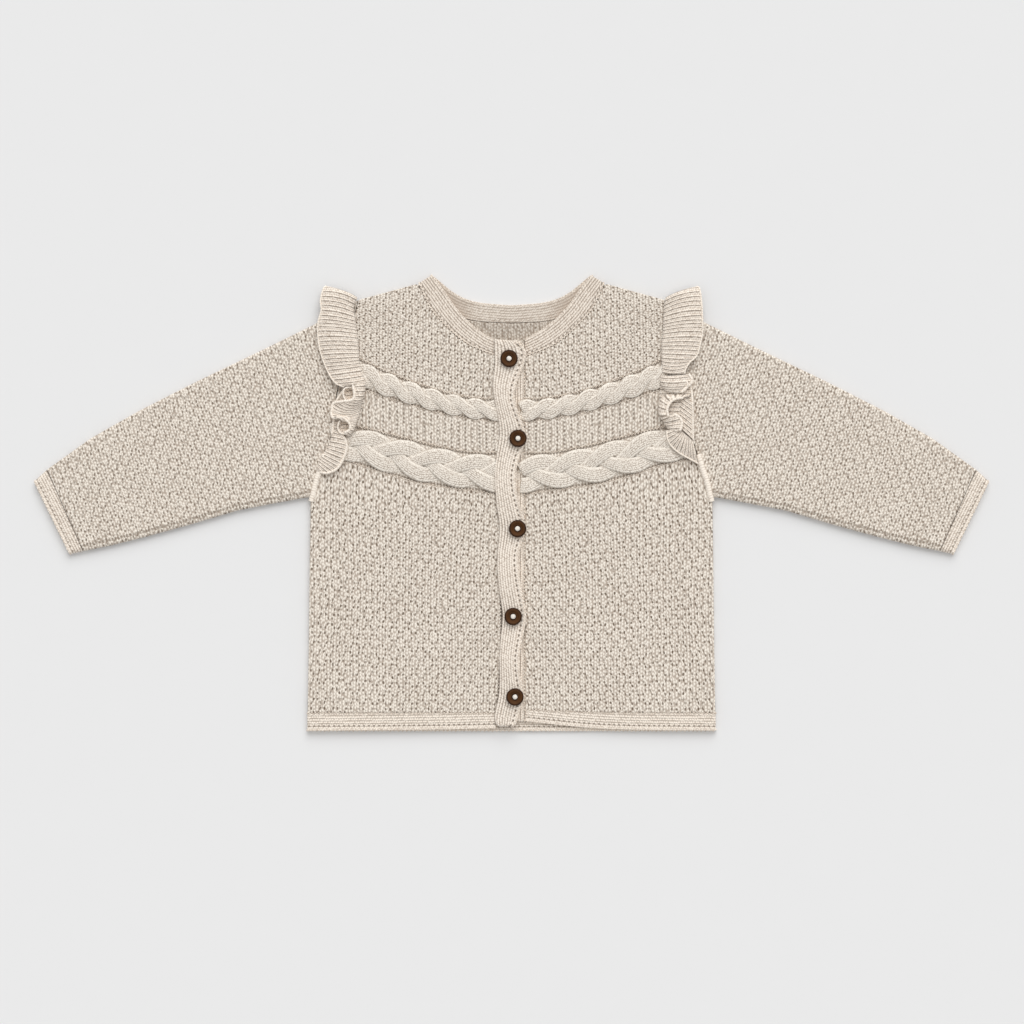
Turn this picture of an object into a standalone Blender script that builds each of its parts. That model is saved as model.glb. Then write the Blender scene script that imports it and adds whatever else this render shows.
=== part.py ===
"""Baby cardigan with shoulder frills, buttoned and laid flat on its back.

Run with: blender --background --python part.py

Frame: +X is the wearer's left, +Y points to the neck and +Z up from the surface that the back lies on.
The origin is at the middle of the underside. Sizes and tables are in millimetres, and MM turns them
into metres where a mesh is made. Each piece of cloth is an open surface, its outer face, which a
Solidify modifier gives its wall.
"""

import math
from collections import namedtuple

import bmesh
import bpy

MM = 0.001


def table(columns, *rows):
    """Rows of numbers with named columns."""
    row_type = namedtuple("Row", columns)
    return [row_type(*row) for row in rows]


# Cloth and layers, from the surface up: back, seam gap, front, seam gap, buttonhole band.
KNIT_WALL = 2.0
FRILL_WALL = 1.6
SEAM_GAP = 0.3
BACK_TOP = KNIT_WALL
FRONT_TOP = BACK_TOP + SEAM_GAP + KNIT_WALL
BAND_TOP = FRONT_TOP + SEAM_GAP + KNIT_WALL
CABLE_RISE = 1.0
BAND_BUCKLE = 1.2
BAND_LAP = 0.8
UNDER_BAND_GAP = 1.5

# Body: half widths and heights of the corners of the pattern.
HALF_HEM = 134.8
HALF_LENGTH = 150.6
HEM_SEAM_Y = -138.5
UNDERARM_X = 132.6
UNDERARM_Y = 4.2
SHOULDER_X = 101.0
SHOULDER_Y = 134.0
NECK_SEAM_X = 61.6
NECK_SEAM_Y = 144.9

# Side seam and armhole seam, from the hem to the shoulder.
SIDE_AND_ARMHOLE = table(
    "y x",
    (HEM_SEAM_Y, 134.6),
    (-60.0, 133.3),
    (UNDERARM_Y, UNDERARM_X),
    (20.5, 128.0),
    (34.0, 121.2),
    (50.0, 118.3),
    (68.0, 116.0),
    (90.0, 111.5),
    (112.0, 106.5),
    (SHOULDER_Y, SHOULDER_X),
)

# Neckline seams, from the middle to the shoulder.
FRONT_NECK_SEAM = table(
    "x y",
    (8.0, 96.2),
    (18.0, 99.8),
    (30.0, 104.9),
    (37.6, 111.0),
    (45.0, 118.0),
    (54.0, 128.0),
    (NECK_SEAM_X, NECK_SEAM_Y),
)
BACK_NECK_SEAM = table(
    "x y",
    (0.0, 118.7),
    (20.0, 119.6),
    (36.0, 123.0),
    (48.0, 129.0),
    (56.0, 136.6),
    (NECK_SEAM_X, NECK_SEAM_Y),
)

# Lines across a front, as heights at five distances from the middle and on the side or armhole seam.
# The first is level with the underarm; the others are the edges of the two cable bands.
LINE_X = (10.0, 35.0, 60.0, 80.0, 100.0)
FRONT_LINES = table(
    "at_10 at_35 at_60 at_80 at_100 at_seam",
    (-12.0, -10.0, -7.0, -4.0, -0.5, UNDERARM_Y),
    (6.2, 10.3, 13.8, 19.8, 25.8, 29.0),
    (32.6, 34.1, 39.0, 45.0, 49.0, 53.0),
    (54.5, 58.0, 63.2, 70.2, 76.0, 81.0),
    (68.0, 70.5, 77.0, 85.5, 94.0, 100.0),
)
CABLE_STARTS = (2, 4)
CABLE_SHOULDER = 0.12
TOP_LEVEL = 6

# Levels at which the pieces have a row of points. A whole number is a line: 0 is the hem seam, 1 to 5
# the lines above and 6 the neckline and shoulder. Back, fronts and sleeves share the armhole's levels.
BODY_LEVELS = (0.0, 0.33, 0.67)
ARMHOLE_LEVELS = (1.0, 1.5, 2.0, 2.5, 3.0, 3.5, 4.0, 4.5, 5.0, 5.33, 5.67, 6.0)
CABLE_EDGE_LEVELS = (2.12, 2.88, 4.12, 4.88)
NECK_STATIONS = (18.0, 27.0, 36.0, 45.0, 54.0)
SHOULDER_STATIONS = (75.0, 88.0, 97.0)

# Hem seam and lower edge of each front. The left front draws up a little beside its band.
FRONT_HEMS = {
    "right": table("x seam edge", (8.0, -138.5, -148.7), (60.0, -138.5, -149.7), (134.8, -138.5, -150.3)),
    "left": table("x seam edge", (8.0, -136.4, -144.0), (60.0, -138.2, -149.0), (134.8, -138.5, -150.3)),
}

# Free edge of the neckband, beside places along its seam, from the middle to the shoulder fold.
NECKBANDS = {
    "right": table(
        "seam_x free_x free_y",
        (10.4, 10.4, 108.0),
        (18.0, 16.2, 110.4),
        (34.0, 29.2, 120.6),
        (47.5, 40.0, 133.4),
        (57.6, 48.0, 145.6),
        (NECK_SEAM_X, 52.3, HALF_LENGTH),
    ),
    "left": table(
        "seam_x free_x free_y",
        (8.9, 9.0, 108.7),
        (22.5, 18.5, 113.6),
        (37.0, 30.0, 122.4),
        (47.5, 40.0, 133.4),
        (57.6, 48.0, 145.6),
        (NECK_SEAM_X, 52.3, HALF_LENGTH),
    ),
    "back": table(
        "seam_x free_x free_y",
        (0.0, 0.0, 130.7),
        (20.0, 20.4, 132.3),
        (36.0, 33.0, 136.0),
        (48.0, 41.6, 141.4),
        (56.0, 47.4, 146.6),
        (NECK_SEAM_X, 52.3, HALF_LENGTH),
    ),
}

# Buttonhole band, from the neck to the hem. Its edges swing from side to side between the buttons.
BUTTONHOLE_BAND = table(
    "left left_y right right_y",
    (-11.4, 108.4, 3.4, 106.6),
    (-11.4, 105.0, 8.4, 103.2),
    (-11.3, 99.6, 10.1, 98.8),
    (-11.1, 90.0, 7.9, 89.6),
    (-12.6, 77.0, 2.9, 77.0),
    (-10.9, 66.0, 2.5, 66.0),
    (-8.6, 54.5, 6.7, 54.5),
    (-8.1, 43.0, 9.9, 43.0),
    (-10.0, 31.8, 5.9, 31.8),
    (-11.3, 19.0, 2.8, 19.0),
    (-10.6, 7.0, 3.5, 7.0),
    (-9.8, -3.0, 6.2, -3.0),
    (-7.8, -17.0, 9.4, -17.0),
    (-9.5, -33.0, 5.0, -33.0),
    (-9.2, -47.0, 5.3, -47.0),
    (-8.0, -60.0, 7.4, -60.0),
    (-5.8, -74.0, 10.0, -74.0),
    (-7.2, -89.0, 7.5, -89.0),
    (-8.1, -101.0, 5.4, -101.0),
    (-7.9, -114.0, 5.9, -114.0),
    (-8.4, -127.0, 8.0, -127.0),
    (-11.2, -139.5, 5.0, -139.5),
    (-10.9, -145.0, 3.9, -145.0),
    (-8.4, -147.7, 1.4, -147.7),
)
BUTTON_BAND_EDGE_X = 8.6
BUTTON_BAND_TOP_Y = 107.6
BUTTON_BAND_FOOT_Y = -144.4

# Buttons, from the neck down, their turned profile and the slits that they pass through.
BUTTONS = table("x y", (-1.6, 95.2), (4.3, 42.6), (4.0, -16.9), (1.1, -74.8), (2.3, -127.8))
BUTTON_PROFILE = table(
    "radius height",
    (1.5, 1.7),
    (2.9, 1.6),
    (3.5, 2.2),
    (4.5, 2.8),
    (5.3, 2.6),
    (5.75, 1.7),
    (5.4, 0.4),
    (4.4, 0.0),
    (1.5, 0.0),
)
BUTTON_STEPS = 28
SLIT_LENGTH = 9.0
SLIT_WIDTH = 1.0

# Sleeve sections from the armhole to the cuff seam: the upper fold, then the lower fold.
SLEEVE_SECTIONS = table(
    "upper_x upper_y lower_x lower_y",
    (SHOULDER_X, SHOULDER_Y, UNDERARM_X, UNDERARM_Y),
    (126.5, 119.6, 152.0, 0.6),
    (164.2, 101.2, 181.0, -5.0),
    (208.8, 79.8, 214.0, -14.8),
    (245.4, 61.2, 244.0, -23.0),
    (277.8, 42.8, 266.0, -28.4),
    (306.6, 22.2, 282.8, -31.8),
)
CUFF_SECTIONS = table(
    "upper_x upper_y lower_x lower_y",
    (306.9, 22.0, 283.1, -31.9),
    (315.5, 14.0, 292.0, -33.8),
)
ARMHOLE_BOW_REACH = 90.0
FOLD_ANGLES = (math.pi / 4.0, 0.0, -math.pi / 4.0)

# Frill sections from behind the shoulder to the underarm: the edge over the body, the edge over the
# sleeve, and the height of the outer face at both edges and between them.
FRILLS = {
    "right": table(
        "body_x body_y sleeve_x sleeve_y body_z middle_z sleeve_z",
        (103.6, 136.9, 122.6, 143.2, 3.0, 3.2, 3.0),
        (102.2, 134.8, 124.4, 139.8, 7.2, 7.4, 5.6),
        (104.2, 128.8, 126.0, 130.0, 7.4, 8.2, 6.6),
        (102.6, 119.0, 127.6, 118.4, 7.4, 8.4, 7.2),
        (100.9, 107.0, 127.4, 107.4, 7.4, 8.6, 7.0),
        (100.2, 95.0, 124.6, 96.4, 7.6, 8.6, 6.8),
        (98.2, 85.0, 119.8, 85.0, 7.8, 8.8, 7.2),
        (96.0, 77.6, 114.6, 78.0, 8.4, 9.4, 9.2),
        (96.7, 71.4, 117.4, 71.0, 9.6, 7.0, 8.4),
        (98.8, 62.4, 118.5, 63.0, 7.8, 9.4, 7.4),
        (99.8, 55.6, 118.2, 56.0, 8.0, 9.2, 8.6),
        (103.0, 48.4, 117.6, 50.0, 9.4, 7.0, 8.2),
        (108.6, 43.0, 117.4, 44.0, 8.4, 9.0, 7.6),
        (109.0, 37.0, 118.0, 37.6, 7.4, 8.2, 7.0),
        (110.6, 29.6, 120.0, 32.0, 7.2, 8.0, 6.8),
        (114.8, 22.8, 122.6, 28.0, 7.0, 7.4, 6.6),
        (121.0, 19.5, 125.4, 24.0, 6.6, 6.8, 6.4),
        (126.6, 20.4, 127.6, 22.4, 6.4, 6.4, 6.4),
    ),
    "left": table(
        "body_x body_y sleeve_x sleeve_y body_z middle_z sleeve_z",
        (103.2, 136.4, 122.6, 142.9, 3.0, 3.2, 3.0),
        (101.6, 134.6, 124.2, 139.6, 7.2, 7.4, 5.6),
        (100.4, 127.0, 125.6, 128.0, 7.4, 8.2, 6.6),
        (99.9, 118.0, 126.0, 117.0, 7.4, 8.4, 7.0),
        (99.0, 108.0, 125.0, 107.0, 7.4, 8.6, 6.8),
        (98.7, 98.0, 121.6, 98.0, 7.6, 8.6, 7.6),
        (99.0, 88.6, 115.0, 90.4, 8.0, 9.4, 9.0),
        (98.6, 83.6, 119.0, 84.4, 8.8, 7.2, 8.4),
        (97.7, 78.4, 118.4, 77.4, 7.8, 9.4, 8.6),
        (100.6, 72.4, 117.4, 72.2, 9.4, 7.2, 9.0),
        (97.6, 67.0, 117.6, 66.0, 9.2, 7.4, 8.0),
        (96.8, 60.4, 118.6, 60.0, 8.4, 9.2, 7.6),
        (98.6, 53.6, 119.0, 53.6, 8.8, 8.0, 7.4),
        (102.4, 46.4, 119.2, 46.6, 8.4, 8.2, 7.0),
        (103.2, 38.4, 119.8, 39.0, 7.4, 8.0, 6.8),
        (108.6, 33.0, 120.8, 33.6, 7.2, 7.6, 6.6),
        (117.2, 27.9, 122.6, 28.8, 6.8, 7.0, 6.4),
        (121.8, 24.2, 124.6, 25.6, 6.4, 6.4, 6.4),
    ),
}

KNIT_COLOUR = (0.62, 0.55, 0.47)
RIB_COLOUR = (0.70, 0.62, 0.53)
BUTTON_COLOUR = (0.05, 0.022, 0.012)


def clear_scene():
    """Remove what a new file starts with."""
    for thing in list(bpy.data.objects):
        bpy.data.objects.remove(thing, do_unlink=True)


def make_collection(name):
    """A collection under the scene's own."""
    group = bpy.data.collections.new(name)
    bpy.context.scene.collection.children.link(group)
    return group


def make_material(name, colour, roughness):
    """A plain Principled BSDF for one piece."""
    material = bpy.data.materials.new(name)
    material.use_nodes = True
    shader = material.node_tree.nodes["Principled BSDF"]
    shader.inputs["Base Color"].default_value = (*colour, 1.0)
    shader.inputs["Roughness"].default_value = roughness
    shader.inputs["Metallic"].default_value = 0.0
    return material


def blend(start, end, share):
    """The value a share of the way from start to end."""
    return start + (end - start) * share


def smooth_step(value):
    """Rises from 0 to 1, level at both ends."""
    value = min(1.0, max(0.0, value))
    return value * value * (3.0 - 2.0 * value)


def through(keys, values, at):
    """The height at one place of the smooth curve through a table's points, whose keys rise."""
    last = len(keys) - 1
    place = 0
    while place < last - 1 and at > keys[place + 1]:
        place += 1
    span = keys[place + 1] - keys[place]
    share = min(1.0, max(0.0, (at - keys[place]) / span))
    slopes = []
    for point in (place, place + 1):
        before = max(0, point - 1)
        after = min(last, point + 1)
        slopes.append((values[after] - values[before]) / (keys[after] - keys[before]))
    rise = values[place + 1] - values[place]
    bend_in = slopes[0] * span - rise
    bend_out = rise - slopes[1] * span
    curve = share * (1.0 - share) * (bend_in * (1.0 - share) + bend_out * share)
    outside = at - min(keys[last], max(keys[0], at))
    end_slope = slopes[0] if outside < 0.0 else slopes[1]
    return values[place] + rise * share + curve + outside * end_slope


def column_of(rows, name):
    """One named column of a table."""
    return [getattr(row, name) for row in rows]


def side_x(y):
    """Half width of the body at a height, on the side seam and up the armhole."""
    return through(column_of(SIDE_AND_ARMHOLE, "y"), column_of(SIDE_AND_ARMHOLE, "x"), y)


def top_y(x, neck_seam):
    """Height of the neckline seam or, past its end, of the shoulder seam."""
    if x <= NECK_SEAM_X:
        return through(column_of(neck_seam, "x"), column_of(neck_seam, "y"), x)
    share = (x - NECK_SEAM_X) / (SHOULDER_X - NECK_SEAM_X)
    return blend(NECK_SEAM_Y, SHOULDER_Y, share)


def band_left(y):
    """The buttonhole band's seam edge at a height."""
    rows = BUTTONHOLE_BAND[::-1]
    return through(column_of(rows, "left_y"), column_of(rows, "left"), y)


def finish(thing, group, parent, colour, roughness):
    """Give a piece its material and its place in the collection."""
    thing.data.materials.append(make_material(thing.name + "_material", colour, roughness))
    thing.parent = parent
    group.objects.link(thing)
    return thing


def cloth(name, columns, rows, point, wall, group, parent, colour):
    """A piece of cloth: a grid laid out by point(column, row), in millimetres, and a wall under it."""
    grid = bmesh.new()
    across = len(columns) - 1
    along = len(rows) - 1
    bmesh.ops.create_grid(grid, x_segments=across, y_segments=along, size=0.5)
    for vertex in grid.verts:
        column = columns[round((vertex.co.x + 0.5) * across)]
        row = rows[round((vertex.co.y + 0.5) * along)]
        x, y, z = point(column, row)
        vertex.co = (x * MM, y * MM, z * MM)
    bmesh.ops.recalc_face_normals(grid, faces=grid.faces)
    if sum(face.normal.z for face in grid.faces) < 0.0:
        bmesh.ops.reverse_faces(grid, faces=grid.faces)
    mesh = bpy.data.meshes.new(name)
    grid.to_mesh(mesh)
    grid.free()
    return with_wall(bpy.data.objects.new(name, mesh), wall, group, parent, colour)


def with_wall(thing, wall, group, parent, colour):
    """Thicken a piece inwards from its outer face."""
    shell = thing.modifiers.new("Wall", "SOLIDIFY")
    shell.thickness = wall * MM
    shell.offset = -1.0
    shell.use_even_offset = True
    thing.data.shade_smooth()
    return finish(thing, group, parent, colour, 0.9)


def seam_y(level):
    """Height of a level on the side seam or the armhole seam."""
    heights = [HEM_SEAM_Y] + column_of(FRONT_LINES, "at_seam") + [SHOULDER_Y]
    line = min(len(heights) - 2, math.floor(level))
    return blend(heights[line], heights[line + 1], level - line)


def make_back(group, parent):
    """Back panel, from the hem seam to the neckline and shoulder seams."""
    stations = NECK_STATIONS + (NECK_SEAM_X,) + SHOULDER_STATIONS + (SHOULDER_X,)
    half = [station / SHOULDER_X for station in stations]
    columns = [-share for share in reversed(half)] + [0.0] + half
    levels = BODY_LEVELS + ARMHOLE_LEVELS

    def point(column, level):
        share = (seam_y(level) - HEM_SEAM_Y) / (SHOULDER_Y - HEM_SEAM_Y)
        x = column * side_x(seam_y(level))
        top = top_y(abs(column) * SHOULDER_X, BACK_NECK_SEAM)
        return x, blend(HEM_SEAM_Y, top, share), BACK_TOP

    return cloth("back_panel", columns, levels, point, KNIT_WALL, group, parent, KNIT_COLOUR)


def cable_rise(level):
    """How far the outer face stands up between the two edges of a cable band."""
    line = math.floor(level)
    if line not in CABLE_STARTS:
        return 0.0
    share = level - line
    return CABLE_RISE * smooth_step(min(share, 1.0 - share) / CABLE_SHOULDER)


def line_y(x, number, hem):
    """Height of one line of a front at a distance from the middle."""
    if number == 0:
        return through(column_of(hem, "x"), column_of(hem, "seam"), x)
    if number == TOP_LEVEL:
        return top_y(x, FRONT_NECK_SEAM)
    line = FRONT_LINES[number - 1]
    return through(LINE_X + (side_x(line.at_seam),), line, x)


def front_edge_x(side, y):
    """Distance of a front's inner edge from the middle, beside or under its band."""
    if side == "left":
        return BUTTON_BAND_EDGE_X + SEAM_GAP
    return -(band_left(y) + BAND_LAP)


def front_columns(side):
    """Shares of the way from a front's inner edge to its side, with one at the neckline's end."""
    inner = front_edge_x(side, FRONT_NECK_SEAM[0].y)
    stations = NECK_STATIONS + (NECK_SEAM_X,) + SHOULDER_STATIONS
    shares = [(station - inner) / (SHOULDER_X - inner) for station in stations]
    return [0.0, 0.04] + shares + [1.0]


def make_front(side, sign, group, parent):
    """A front, with its two raised cable bands; sign is the side of the middle that it lies on."""
    hem = FRONT_HEMS[side]
    levels = sorted(BODY_LEVELS + ARMHOLE_LEVELS + CABLE_EDGE_LEVELS)

    def point(column, level):
        x = side_x(seam_y(level))
        y = seam_y(level)
        line = min(TOP_LEVEL - 1, math.floor(level))
        if column < 1.0:
            for _ in range(6):
                y = blend(line_y(x, line, hem), line_y(x, line + 1, hem), level - line)
                x = blend(front_edge_x(side, y), side_x(seam_y(level)), column)
        inside = 0.0 if column in (0.0, 1.0) else 1.0
        return sign * x, y, FRONT_TOP + inside * cable_rise(level)

    name = side + "_front"
    return cloth(name, front_columns(side), levels, point, KNIT_WALL, group, parent, KNIT_COLOUR)


def make_back_hem(group, parent):
    """Hem band of the back."""
    def point(column, row):
        return column * HALF_HEM, row, BACK_TOP

    rows = (-HALF_LENGTH, HEM_SEAM_Y - SEAM_GAP)
    return cloth("back_hem", (-1.0, -0.5, 0.0, 0.5, 1.0), rows, point, KNIT_WALL, group, parent, RIB_COLOUR)


def make_front_hem(side, sign, group, parent):
    """Hem band of a front."""
    hem = FRONT_HEMS[side]
    inner = front_edge_x(side, HEM_SEAM_Y)

    def point(column, row):
        x = blend(inner, HALF_HEM, column)
        edge = through(column_of(hem, "x"), column_of(hem, "edge"), x)
        return sign * x, blend(edge, line_y(x, 0, hem) - SEAM_GAP, row), FRONT_TOP

    columns = front_columns(side)
    return cloth(side + "_front_hem", columns, (0.0, 1.0), point, KNIT_WALL, group, parent, RIB_COLOUR)


def neckband_point(sections, neck_seam, seam_x, column):
    """A point of the neckband: column 0 is its free edge and 1 its seam edge, just off the panel."""
    keys = column_of(sections, "seam_x")
    free_x = through(keys, column_of(sections, "free_x"), seam_x)
    free_y = through(keys, column_of(sections, "free_y"), seam_x)
    seam_height = top_y(seam_x, neck_seam)
    width = math.hypot(free_x - seam_x, free_y - seam_height)
    share = column * (1.0 - SEAM_GAP / width)
    return blend(free_x, seam_x, share), blend(free_y, seam_height, share)


def make_front_neckband(side, sign, group, parent):
    """Half of the front stretch of the neckband, from the button bands to the shoulder fold."""
    stations = (front_edge_x(side, FRONT_NECK_SEAM[0].y),) + NECK_STATIONS + (NECK_SEAM_X,)

    def point(column, seam_x):
        x, y = neckband_point(NECKBANDS[side], FRONT_NECK_SEAM, seam_x, column)
        return sign * x, y, FRONT_TOP

    name = side + "_neckband"
    return cloth(name, (0.0, 0.5, 1.0), stations, point, KNIT_WALL, group, parent, RIB_COLOUR)


def make_back_neckband(group, parent):
    """The back stretch of the neckband, from one shoulder fold to the other."""
    half = NECK_STATIONS + (NECK_SEAM_X,)
    stations = [-station for station in reversed(half)] + [0.0] + list(half)

    def point(column, seam_x):
        x, y = neckband_point(NECKBANDS["back"], BACK_NECK_SEAM, abs(seam_x), column)
        return math.copysign(x, seam_x), y, BACK_TOP

    return cloth("back_neckband", (0.0, 0.5, 1.0), stations, point, KNIT_WALL, group, parent, RIB_COLOUR)


def section_at(sections, place, name):
    """A column of a table of sections, read smoothly at a fractional row number."""
    return through(range(len(sections)), column_of(sections, name), place)


def buckle(y):
    """How far the buttonhole band arches off the band below it, between two buttons."""
    for upper, lower in zip(BUTTONS, BUTTONS[1:]):
        if lower.y <= y <= upper.y:
            return BAND_BUCKLE * math.sin(math.pi * (y - lower.y) / (upper.y - lower.y)) ** 2
    return 0.0


def make_slit_cutter(number, button, guides):
    """A thin upright box that cuts one buttonhole."""
    bpy.ops.mesh.primitive_cube_add(size=1.0, location=(button.x * MM, button.y * MM, BAND_TOP * MM))
    cutter = bpy.context.object
    cutter.name = f"buttonhole_cutter_{number}"
    cutter.scale = (SLIT_WIDTH * MM, SLIT_LENGTH * MM, 4.0 * KNIT_WALL * MM)
    for group in list(cutter.users_collection):
        group.objects.unlink(cutter)
    guides.objects.link(cutter)
    cutter.hide_render = True
    cutter.display_type = "WIRE"
    return cutter


def make_buttonhole_band(group, guides, parent):
    """The band that lies on top, knitted on to the right front, with a slit for each button."""
    steps = [number / 2.0 for number in range(2 * len(BUTTONHOLE_BAND) - 1)]

    def point(column, place):
        values = {name: section_at(BUTTONHOLE_BAND, place, name) for name in BUTTONHOLE_BAND[0]._fields}
        x = blend(values["left"], values["right"], column)
        y = blend(values["left_y"], values["right_y"], column)
        return x, y, BAND_TOP + buckle(y)

    columns = (0.0, 0.33, 0.67, 1.0)
    band = cloth("buttonhole_band", columns, steps, point, KNIT_WALL, group, parent, RIB_COLOUR)
    for number, button in enumerate(BUTTONS, start=1):
        slit = band.modifiers.new(f"Buttonhole {number}", "BOOLEAN")
        slit.operation = "DIFFERENCE"
        slit.solver = "EXACT"
        slit.object = make_slit_cutter(number, button, guides)
    return band


def make_button_band(group, parent):
    """The straight band below, knitted on to the left front, which carries the buttons."""
    count = 24
    rows = [blend(BUTTON_BAND_FOOT_Y, BUTTON_BAND_TOP_Y, number / count) for number in range(count + 1)]

    def point(column, y):
        hidden_edge = band_left(y) + BAND_LAP + UNDER_BAND_GAP
        return blend(hidden_edge, BUTTON_BAND_EDGE_X, column), y, FRONT_TOP

    return cloth("button_band", (0.0, 1.0), rows, point, KNIT_WALL, group, parent, RIB_COLOUR)


def armhole_x(y):
    """Half width of the body on the straight runs between the armhole's shared levels."""
    heights = [seam_y(level) for level in ARMHOLE_LEVELS]
    place = 0
    while place < len(heights) - 2 and y > heights[place + 1]:
        place += 1
    share = (y - heights[place]) / (heights[place + 1] - heights[place])
    return blend(side_x(heights[place]), side_x(heights[place + 1]), share)


def armhole_bow(y, share):
    """Sideways distance of a sleeve's end from the straight line between its corners."""
    straight = blend(SHOULDER_X, UNDERARM_X, share)
    return armhole_x(y) + SEAM_GAP - straight


def tube_ring(mesh, section, depth, bow, sign):
    """One ring of a flattened tube: its upper layer, lower fold, lower layer and upper fold.

    depth is how far the ring lies inside the outer face, and bow how much of the armhole's curve it has.
    """
    middle = FRONT_TOP / 2.0
    half = middle - depth
    width = math.hypot(section.upper_x - section.lower_x, section.upper_y - section.lower_y)
    edge = depth / width
    round_share = half / width
    inset = edge + round_share
    span = SHOULDER_Y - UNDERARM_Y
    shares = [(SHOULDER_Y - seam_y(level)) / span for level in reversed(ARMHOLE_LEVELS)]
    layer = [min(1.0 - inset, max(inset, share)) for share in shares]
    places = [(share, middle + half) for share in layer]
    for angle in FOLD_ANGLES:
        places.append((1.0 - inset + round_share * math.cos(angle), middle + half * math.sin(angle)))
    places += [(share, middle - half) for share in reversed(layer)]
    for angle in reversed(FOLD_ANGLES):
        places.append((inset - round_share * math.cos(angle), middle + half * math.sin(angle)))
    ring = []
    for share, z in places:
        x = blend(section.upper_x, section.lower_x, share)
        y = blend(section.upper_y, section.lower_y, share)
        x += bow * armhole_bow(blend(SHOULDER_Y, UNDERARM_Y, share), share)
        ring.append(mesh.verts.new((sign * x * MM, y * MM, z * MM)))
    return ring


def flat_tube(name, sections, bow_reach, sign, group, parent, colour):
    """A tube of cloth pressed flat, open at both ends. A sleeve's sections bow out to the armhole."""
    mesh = bmesh.new()
    faces = []
    skins = []
    for depth in (0.0, KNIT_WALL):
        rings = []
        for section in sections:
            bow = 1.0 - smooth_step((section.upper_x - SHOULDER_X) / bow_reach) if bow_reach else 0.0
            rings.append(tube_ring(mesh, section, depth, bow, sign))
        skins.append(rings)
        faces += zip(rings, rings[1:])
    faces += [(skins[0][end], skins[1][end]) for end in (0, -1)]
    for first, second in faces:
        for number in range(len(first)):
            following = (number + 1) % len(first)
            mesh.faces.new((first[number], first[following], second[following], second[number]))
    bmesh.ops.recalc_face_normals(mesh, faces=mesh.faces)
    data = bpy.data.meshes.new(name)
    mesh.to_mesh(data)
    mesh.free()
    data.shade_smooth()
    return finish(bpy.data.objects.new(name, data), group, parent, colour, 0.9)


def make_frill(side, sign, group, parent):
    """A ribbed strip gathered into the armhole seam, lying over it in uneven folds."""
    sections = FRILLS[side]
    steps = [number / 2.0 for number in range(2 * len(sections) - 1)]
    columns = (0.0, 0.25, 0.5, 0.75, 1.0)

    def point(column, place):
        values = {name: section_at(sections, place, name) for name in sections[0]._fields}
        x = blend(values["body_x"], values["sleeve_x"], column)
        y = blend(values["body_y"], values["sleeve_y"], column)
        heights = (values["body_z"], values["middle_z"], values["sleeve_z"])
        return sign * x, y, through((0.0, 0.5, 1.0), heights, column)

    return cloth(side + "_frill", columns, steps, point, FRILL_WALL, group, parent, RIB_COLOUR)


def make_button(number, button, group, parent):
    """A turned button with a raised rim and a round eye for its thread."""
    ring = bmesh.new()
    points = [ring.verts.new((row.radius * MM, 0.0, row.height * MM)) for row in BUTTON_PROFILE]
    for start, end in zip(points, points[1:] + points[:1]):
        ring.edges.new((start, end))
    mesh = bpy.data.meshes.new(f"button_{number}")
    ring.to_mesh(mesh)
    ring.free()
    thing = bpy.data.objects.new(f"button_{number}", mesh)
    turn = thing.modifiers.new("Turned", "SCREW")
    turn.angle = math.tau
    turn.steps = BUTTON_STEPS
    turn.render_steps = BUTTON_STEPS
    turn.use_merge_vertices = True
    turn.merge_threshold = 0.01 * MM
    turn.use_smooth_shade = True
    thing.location = (button.x * MM, button.y * MM, (BAND_TOP + SEAM_GAP) * MM)
    return finish(thing, group, parent, BUTTON_COLOUR, 0.45)


def build():
    """Make every piece of the cardigan."""
    clear_scene()
    group = make_collection("baby_cardigan")
    guides = make_collection("cutters")
    parent = bpy.data.objects.new("cardigan_origin", None)
    group.objects.link(parent)
    make_back(group, parent)
    make_back_hem(group, parent)
    make_back_neckband(group, parent)
    for side, sign in (("right", -1.0), ("left", 1.0)):
        make_front(side, sign, group, parent)
        make_front_hem(side, sign, group, parent)
        make_front_neckband(side, sign, group, parent)
        flat_tube(side + "_sleeve", SLEEVE_SECTIONS, ARMHOLE_BOW_REACH, sign, group, parent, KNIT_COLOUR)
        flat_tube(side + "_cuff", CUFF_SECTIONS, 0.0, sign, group, parent, RIB_COLOUR)
        make_frill(side, sign, group, parent)
    make_button_band(group, parent)
    make_buttonhole_band(group, guides, parent)
    for number, button in enumerate(BUTTONS, start=1):
        make_button(number, button, group, parent)


build()
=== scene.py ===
"""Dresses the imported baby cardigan: knitted cloth, cables, ribbed bands, frills and turned buttons.

Sizes are in millimetres until a mesh is made. +X is the wearer's left and +Y points to the neck.
"""

import math

import bmesh
import bpy
import numpy as np
from mathutils import Euler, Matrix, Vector
from mathutils.bvhtree import BVHTree


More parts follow.
